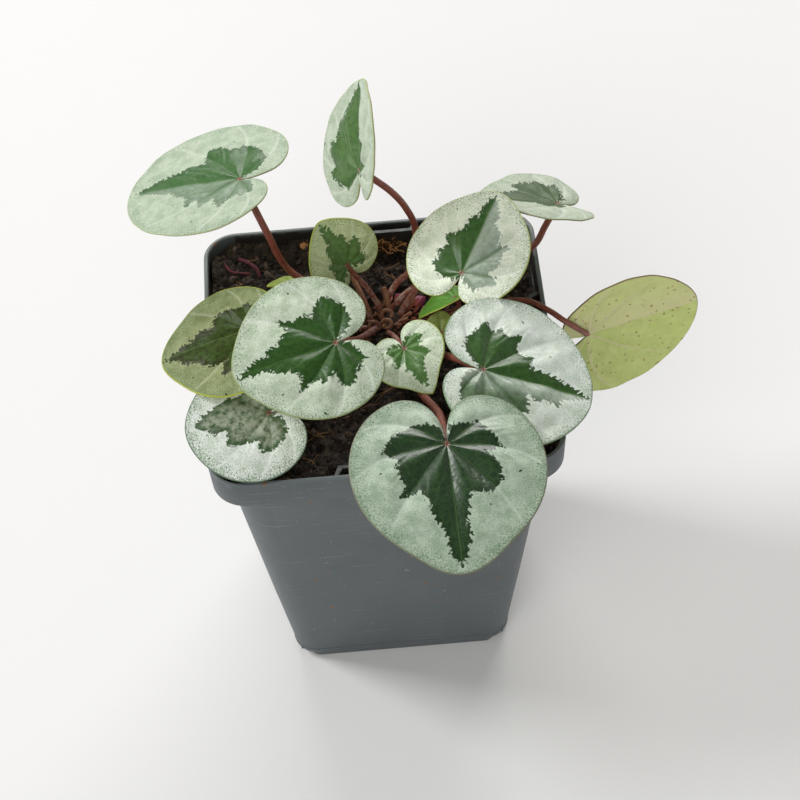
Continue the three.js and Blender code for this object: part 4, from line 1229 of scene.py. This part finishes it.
# %% Roots
ROOTS = (([(-35.6, 39, 91.6), (-33.4, 37, 92.2), (-31, 34.4, 91.8), (-30.2, 32.6, 90.6)], 0.55),
         ([(-40, 37.6, 92.4), (-38, 34.4, 91.8), (-33, 33.6, 91)], 0.4))
root_points, root_faces = join([tube(smooth_route(route, 0.5), girth, sides=10)[:2]
                                for route, girth in ROOTS])
root_skin = peat("pink_root", "#2c1516", "#63343a", "#5a302c")
piece("pink_roots", root_points, root_faces, [root_skin], [],
      fields={"tone": np.full(len(root_points), 0.3)})
print("roots:", len(ROOTS))

# %% [markdown]
# The tuber is a flattened round corm with a rough skin, and so is the corky crown on top of it.
# Both are balls whose points are moved in and out by noise.

# %% Lumpy form
def lumpy_ball(centre, radius, rings, seed, amount):
    """A closed round form with an uneven skin."""
    around = rings * 2
    points, faces = [], []
    for i in range(1, rings):
        for j in range(around):
            a, b = math.pi * i / rings, 2 * math.pi * j / around
            points.append((math.sin(a) * math.cos(b), math.sin(a) * math.sin(b), math.cos(a)))
    points += [(0, 0, 1), (0, 0, -1)]
    top, bottom = len(points) - 2, len(points) - 1
    for j in range(around):
        k = (j + 1) % around
        faces.append((top, j, k))
        faces.append((bottom, (rings - 2) * around + k, (rings - 2) * around + j))
        for i in range(rings - 2):
            faces.append((i * around + j, (i + 1) * around + j, (i + 1) * around + k, i * around + k))
    points = np.array(points)
    bumps = np.array([noise.fractal(Vector(p * 2.3) + Vector((seed, 0, 0)), 0.8, 2.0, 5) for p in points])
    points = points * np.array(radius) * (1 + amount * bumps[:, None]) + centre
    return points, faces


# %% [markdown]
# The tuber sits just under the surface, with the crown that carries the stalks. From it rise
# the stubs of old stalks, broken or cut.

# %% Tuber, crown and stubs
TUBER = ((3, 12, 83.5), (14, 13, 7.2))
CROWN = ((3, 11.5, 88.0), (4.8, 4.8, 2.3))
OLD_STALKS = (
    ([(3.6, 14.6, 89), (3.6, 17, 91.6), (3, 20.8, 94.4)], 0.85),
    ([(-0.6, 13.4, 89), (-1.7, 16, 91.2), (-3.4, 20.4, 93.6), (-5.8, 26, 96.4)], 0.8),
    ([(5.4, 11.4, 89), (7.4, 11.9, 91.6), (9.6, 12.8, 92.4)], 0.5),
    ([(1.6, 9, 90), (1.2, 8.9, 92.4), (0.1, 9, 93.8), (-1.3, 8.7, 94.2), (-1.8, 7.9, 93.5),
      (-1.2, 7.3, 92.9)], 0.42),
    ([(4.4, 9.8, 89), (5, 9.4, 91.8), (6.6, 8.6, 92.4)], 0.5),
    ([(4.8, 10.6, 89), (6, 10.2, 91.8), (8.6, 10.5, 92.7)], 0.42),
    ([(1.8, 13, 89), (0.8, 13.2, 92), (0.1, 12.6, 93.4)], 0.4),
    ([(0.6, 11.4, 89), (-0.4, 11, 91.8), (-1.9, 10.6, 92.6)], 0.5),
)
parts = [lumpy_ball(*TUBER, 40, 1.0, 0.05), lumpy_ball(*CROWN, 36, 4.0, 0.3)]
ways = [part[0] * 0.4 for part in parts]
for route, radius in OLD_STALKS:
    curve = smooth_route(route, 0.4)
    girth = radius * (1 - 0.15 * np.linspace(0, 1, len(curve)) ** 2)
    *stub, way, turn = tube(curve, girth)
    parts.append(stub)
    ways.append(streak_field(way, turn, radius))
print("stubs:", len(OLD_STALKS))

# %% [markdown]
# Two old stalks curled up like springs as they dried. They share the dull brown skin of the
# stubs, and all of it is one piece with the tuber.

# %% Coiled stalks
# centre, radius of the ring, radius of the wire, where it starts and how far it turns
COILS = (((3.2, 11.2, 93.9), 1.3, 0.46, 222, -262), ((2.9, 8.4, 93.4), 1.14, 0.46, 160, -322))
COIL_LEAN = math.radians(-48)
COIL_STEPS = 18
for centre, radius, wire, begin, sweep in COILS:
    route = []
    for i in range(COIL_STEPS + 1):
        angle = math.radians(begin + sweep * i / COIL_STEPS)
        reach = radius * (1.16 - 0.30 * i / COIL_STEPS + 0.07 * math.sin(0.9 * i + radius))
        depth = 0.7 - 1.4 * i / COIL_STEPS
        flat_x, flat_z = reach * math.cos(angle), reach * math.sin(angle)
        route.append((centre[0] + flat_x,
                      centre[1] + depth * math.cos(COIL_LEAN) - flat_z * math.sin(COIL_LEAN),
                      centre[2] + flat_z * math.cos(COIL_LEAN) + depth * math.sin(COIL_LEAN)))
    first = np.array(route[0])
    route = [tuple(first * 0.4 + np.array((3, 11, 89)) * 0.6), *route]
    *coil, way, turn = tube(smooth_route(route, 0.25), wire, sides=12)
    parts.append(coil)
    ways.append(streak_field(way, turn, wire))
points, faces = join(parts)
corky = stalk_skin("dried_stalk_skin", "#ad7d60", "#7a4f3a", "#8a5e4a")
bark = peat("corky_tuber_skin", "#2b1c17", "#5a3f33", "#6d4c3c")
in_balls = len(parts[0][1]) + len(parts[1][1])
piece("tuber_and_old_stalks", points, faces, [corky, bark], ["tuber"],
      fields={"way": np.vstack(ways)}, face_material=[1] * in_balls + [0] * (len(faces) - in_balls))
print("coils:", len(COILS))

# %% [markdown]
# Between the stalks lie short reddish scales and the ends of stalks that broke off, each a few
# millimetres long. They are many small thin tubes, strewn by a seeded draw.

# %% Scales in the crown
SCALES = 95
rng = np.random.default_rng(21)
parts, tones = [], []
for _ in range(SCALES):
    spread, around = 2.6 + 5.2 * rng.random() ** 0.8, rng.uniform(0, 2 * math.pi)
    foot = np.array([4.4 + spread * math.cos(around), 11.6 + 0.9 * spread * math.sin(around),
                     90.3 + 0.9 * rng.random()])
    along = np.array([math.cos(around), math.sin(around), rng.uniform(-0.1, 0.9)]) + rng.normal(0, 0.45, 3)
    along /= np.linalg.norm(along)
    length = rng.uniform(0.9, 2.6)
    bend = rng.normal(0, 0.25, 3)
    curve = smooth_route([foot, foot + along * length * 0.5 + bend, foot + along * length], 0.3)
    girth = rng.uniform(0.14, 0.34) * np.sin(np.linspace(0.5, 2.8, len(curve))) ** 0.6
    parts.append(tube(curve, girth, sides=7)[:2])
    tones.append(np.full(len(parts[-1][0]), rng.uniform(-0.1, 0.8)))
points, faces = join(parts)
scale_skin = peat("dry_reddish_scale", "#4e2a22", "#b0705a", "#c08a6a")
piece("crown_scales", points, faces, [scale_skin], [], fields={"tone": np.concatenate(tones)})
print("scales:", len(parts))

# %% [markdown]
# The flower buds are small pink cones, twisted as an umbrella is furled, on short bent stems.
# Each is turned on its own axis with shallow ribs for the rolled petals.

# %% Bud skin
BUDS = {
    "1": ((7.6, 15.2, 89), (10, 16.4, 91.6), (13.6, 18.2, 92), 1.5),
    "2": ((12.4, 15.6, 88.6), (14.4, 14.8, 91.4), (12.4, 12.6, 92.6), 1.2),
    "3": ((4.6, 18.2, 88.8), (5.8, 20, 90.4), (7.2, 20.2, 92.4), 0.8),
}
# half width and height of a bud, for a size of 1
BUD_PROFILE = ((0, 0), (0.62, 0.3), (0.95, 0.95), (0.9, 1.7), (0.5, 2.5), (0, 3))
BUD_LENGTH, BUD_SIDES, BUD_RINGS, PETALS = 3, 40, 26, 5


def bud_skin():
    material, tree, shader = new_material("furled_petals", 0.38, 1.42)
    way = add(tree, "Attribute", {"attribute_name": "way"}, "Vector")
    along = add(tree, "SeparateXYZ", {0: way}, "Z")
    streaks = add(tree, "TexNoise", {"Vector": way, "Scale": 3.0, "Detail": 3.0})
    ramp = add(tree, "ValToRGB", {"Fac": along, "stops": [(0.0, "#8a5638"), (0.22, "#a85a4a"),
                                                          (0.45, "#9c4560"), (1.0, "#86304c")]})
    skin = lay(tree, ramp, "#cf8f9c", streaks, 0.5, 0.72, 0.0, 0.5)
    tree.links.new(skin, shader.inputs["Base Color"])
    return material


# %% [markdown]
# A bud is lofted from rings along its axis, from the stem to the tip. The ribs turn as they rise.

# %% Buds
petals = bud_skin()
for bud_name, (foot, neck, tip, size) in BUDS.items():
    foot, neck, tip = (np.array(p, dtype=float) for p in (foot, neck, tip))
    axis = (tip - neck) / np.linalg.norm(tip - neck)
    stem = smooth_route([foot, neck, neck + axis * 0.3 * size], 0.4)
    stem_points, stem_faces, _, _ = tube(stem, 0.42 * size)
    across = np.cross(axis, (0, 0, 1.0))
    across /= np.linalg.norm(across)
    other = np.cross(axis, across)
    places = np.linspace(0, 1, BUD_RINGS)
    heights = BUD_LENGTH * places * size
    girths = np.interp(BUD_LENGTH * places, [h for _, h in BUD_PROFILE], [r for r, _ in BUD_PROFILE]) * size
    turns = 2 * np.pi * np.arange(BUD_SIDES) / BUD_SIDES
    rings = []
    for height, girth, place in zip(heights[1:-1], girths[1:-1], places[1:-1]):
        furl = 1 + 0.10 * np.sin(PETALS * (turns + 2.2 * place)) * min(1, 3 * place)
        rings.append(neck + axis * height + (girth * furl)[:, None]
                     * (np.cos(turns)[:, None] * across + np.sin(turns)[:, None] * other))
    bud_points, bud_faces = loft(neck, rings, neck + axis * BUD_LENGTH * size)
    along = np.concatenate([[0], np.repeat(places[1:-1], BUD_SIDES), [1]])
    stem_way = np.column_stack([stem_points[:, 0], stem_points[:, 1], np.full(len(stem_points), 0.1)])
    bud_way = np.column_stack([bud_points[:, 0] * 0.6, bud_points[:, 1] * 0.6, along])
    points, faces = join([(stem_points, stem_faces), (bud_points, [f[::-1] for f in bud_faces])])
    piece("flower_bud_" + bud_name, points, faces, [petals], ["bud_" + bud_name],
          fields={"way": np.vstack([stem_way, bud_way])})
print("buds:", len(BUDS))

# %% [markdown]
# The light is a studio's: a window at the left, a wide panel behind that makes the flanks of the
# veins shine, and a soft fill in front.

# %% Lamps
LAMP_AIM = Vector((0, 0, 0.1))       # the middle of the plant


def soft_lamp(name, place, size, power, tint):
    lamp = bpy.data.lights.new(name, "AREA")
    lamp.shape = "RECTANGLE"
    lamp.size, lamp.size_y = size
    lamp.energy = power
    lamp.color = linear(tint)[:3]
    obj = bpy.data.objects.new(name, lamp)
    obj.location = place
    obj.rotation_euler = (LAMP_AIM - Vector(place)).to_track_quat("-Z", "Y").to_euler()
    obj.visible_camera = False
    bpy.context.scene.collection.objects.link(obj)
    return obj


soft_lamp("window", (-2.33, 0.85, 1.98), (1.0, 0.9), 56.0, "#ffffff")
soft_lamp("backdrop", (0.3, 2.5, 1.75), (2.6, 0.9), 62.0, "#fffcfa")
fill = soft_lamp("polarised_fill", (-0.8, -2.4, 2.3), (2.2, 2.2), 45.0, "#fffdfc")
fill.visible_glossy = False          # crossed polarisers take its reflection off the dark leaves

print("lamps:", len(bpy.data.lights))

# %% [markdown]
# The surround is a plain room, bright near the horizon and dim overhead. It fills the shadows
# and gives the waxy leaves something even to mirror.

# %% Surround
world = bpy.data.worlds.new("studio")
world.use_nodes = True
sky = world.node_tree
direction = add(sky, "TexCoord", {}, "Generated")
height = add(sky, "SeparateXYZ", {0: direction}, "Z")
room = add(sky, "ValToRGB", {"Fac": height, "stops": [(0.0, "#d2d2d1"), (0.15, "#c0c0bf"), (0.5, "#767677"),
                                                      (1.0, "#616162")]})
sky.links.new(room, sky.nodes["Background"].inputs["Color"])
sky.nodes["Background"].inputs["Strength"].default_value = 1.0
bpy.context.scene.world = world

# %% [markdown]
# The floor is a sheet of plain pale paper that reaches three metres to each side.

# %% Floor
FLOOR_HALF = 3.0
corners = [(x * FLOOR_HALF, y * FLOOR_HALF, 0) for x, y in ((-1, -1), (1, -1), (1, 1), (-1, 1))]
floor_mesh = bpy.data.meshes.new("floor")
floor_mesh.from_pydata(corners, [], [(0, 1, 2, 3)])
floor = bpy.data.objects.new("floor", floor_mesh)
bpy.context.scene.collection.objects.link(floor)
paper, _, paper_shader = new_material("matte_paper", 0.9)
paper_shader.inputs["Base Color"].default_value = linear("#eaeae9")
floor_mesh.materials.append(paper)
bpy.context.scene.view_settings.view_transform = "Standard"
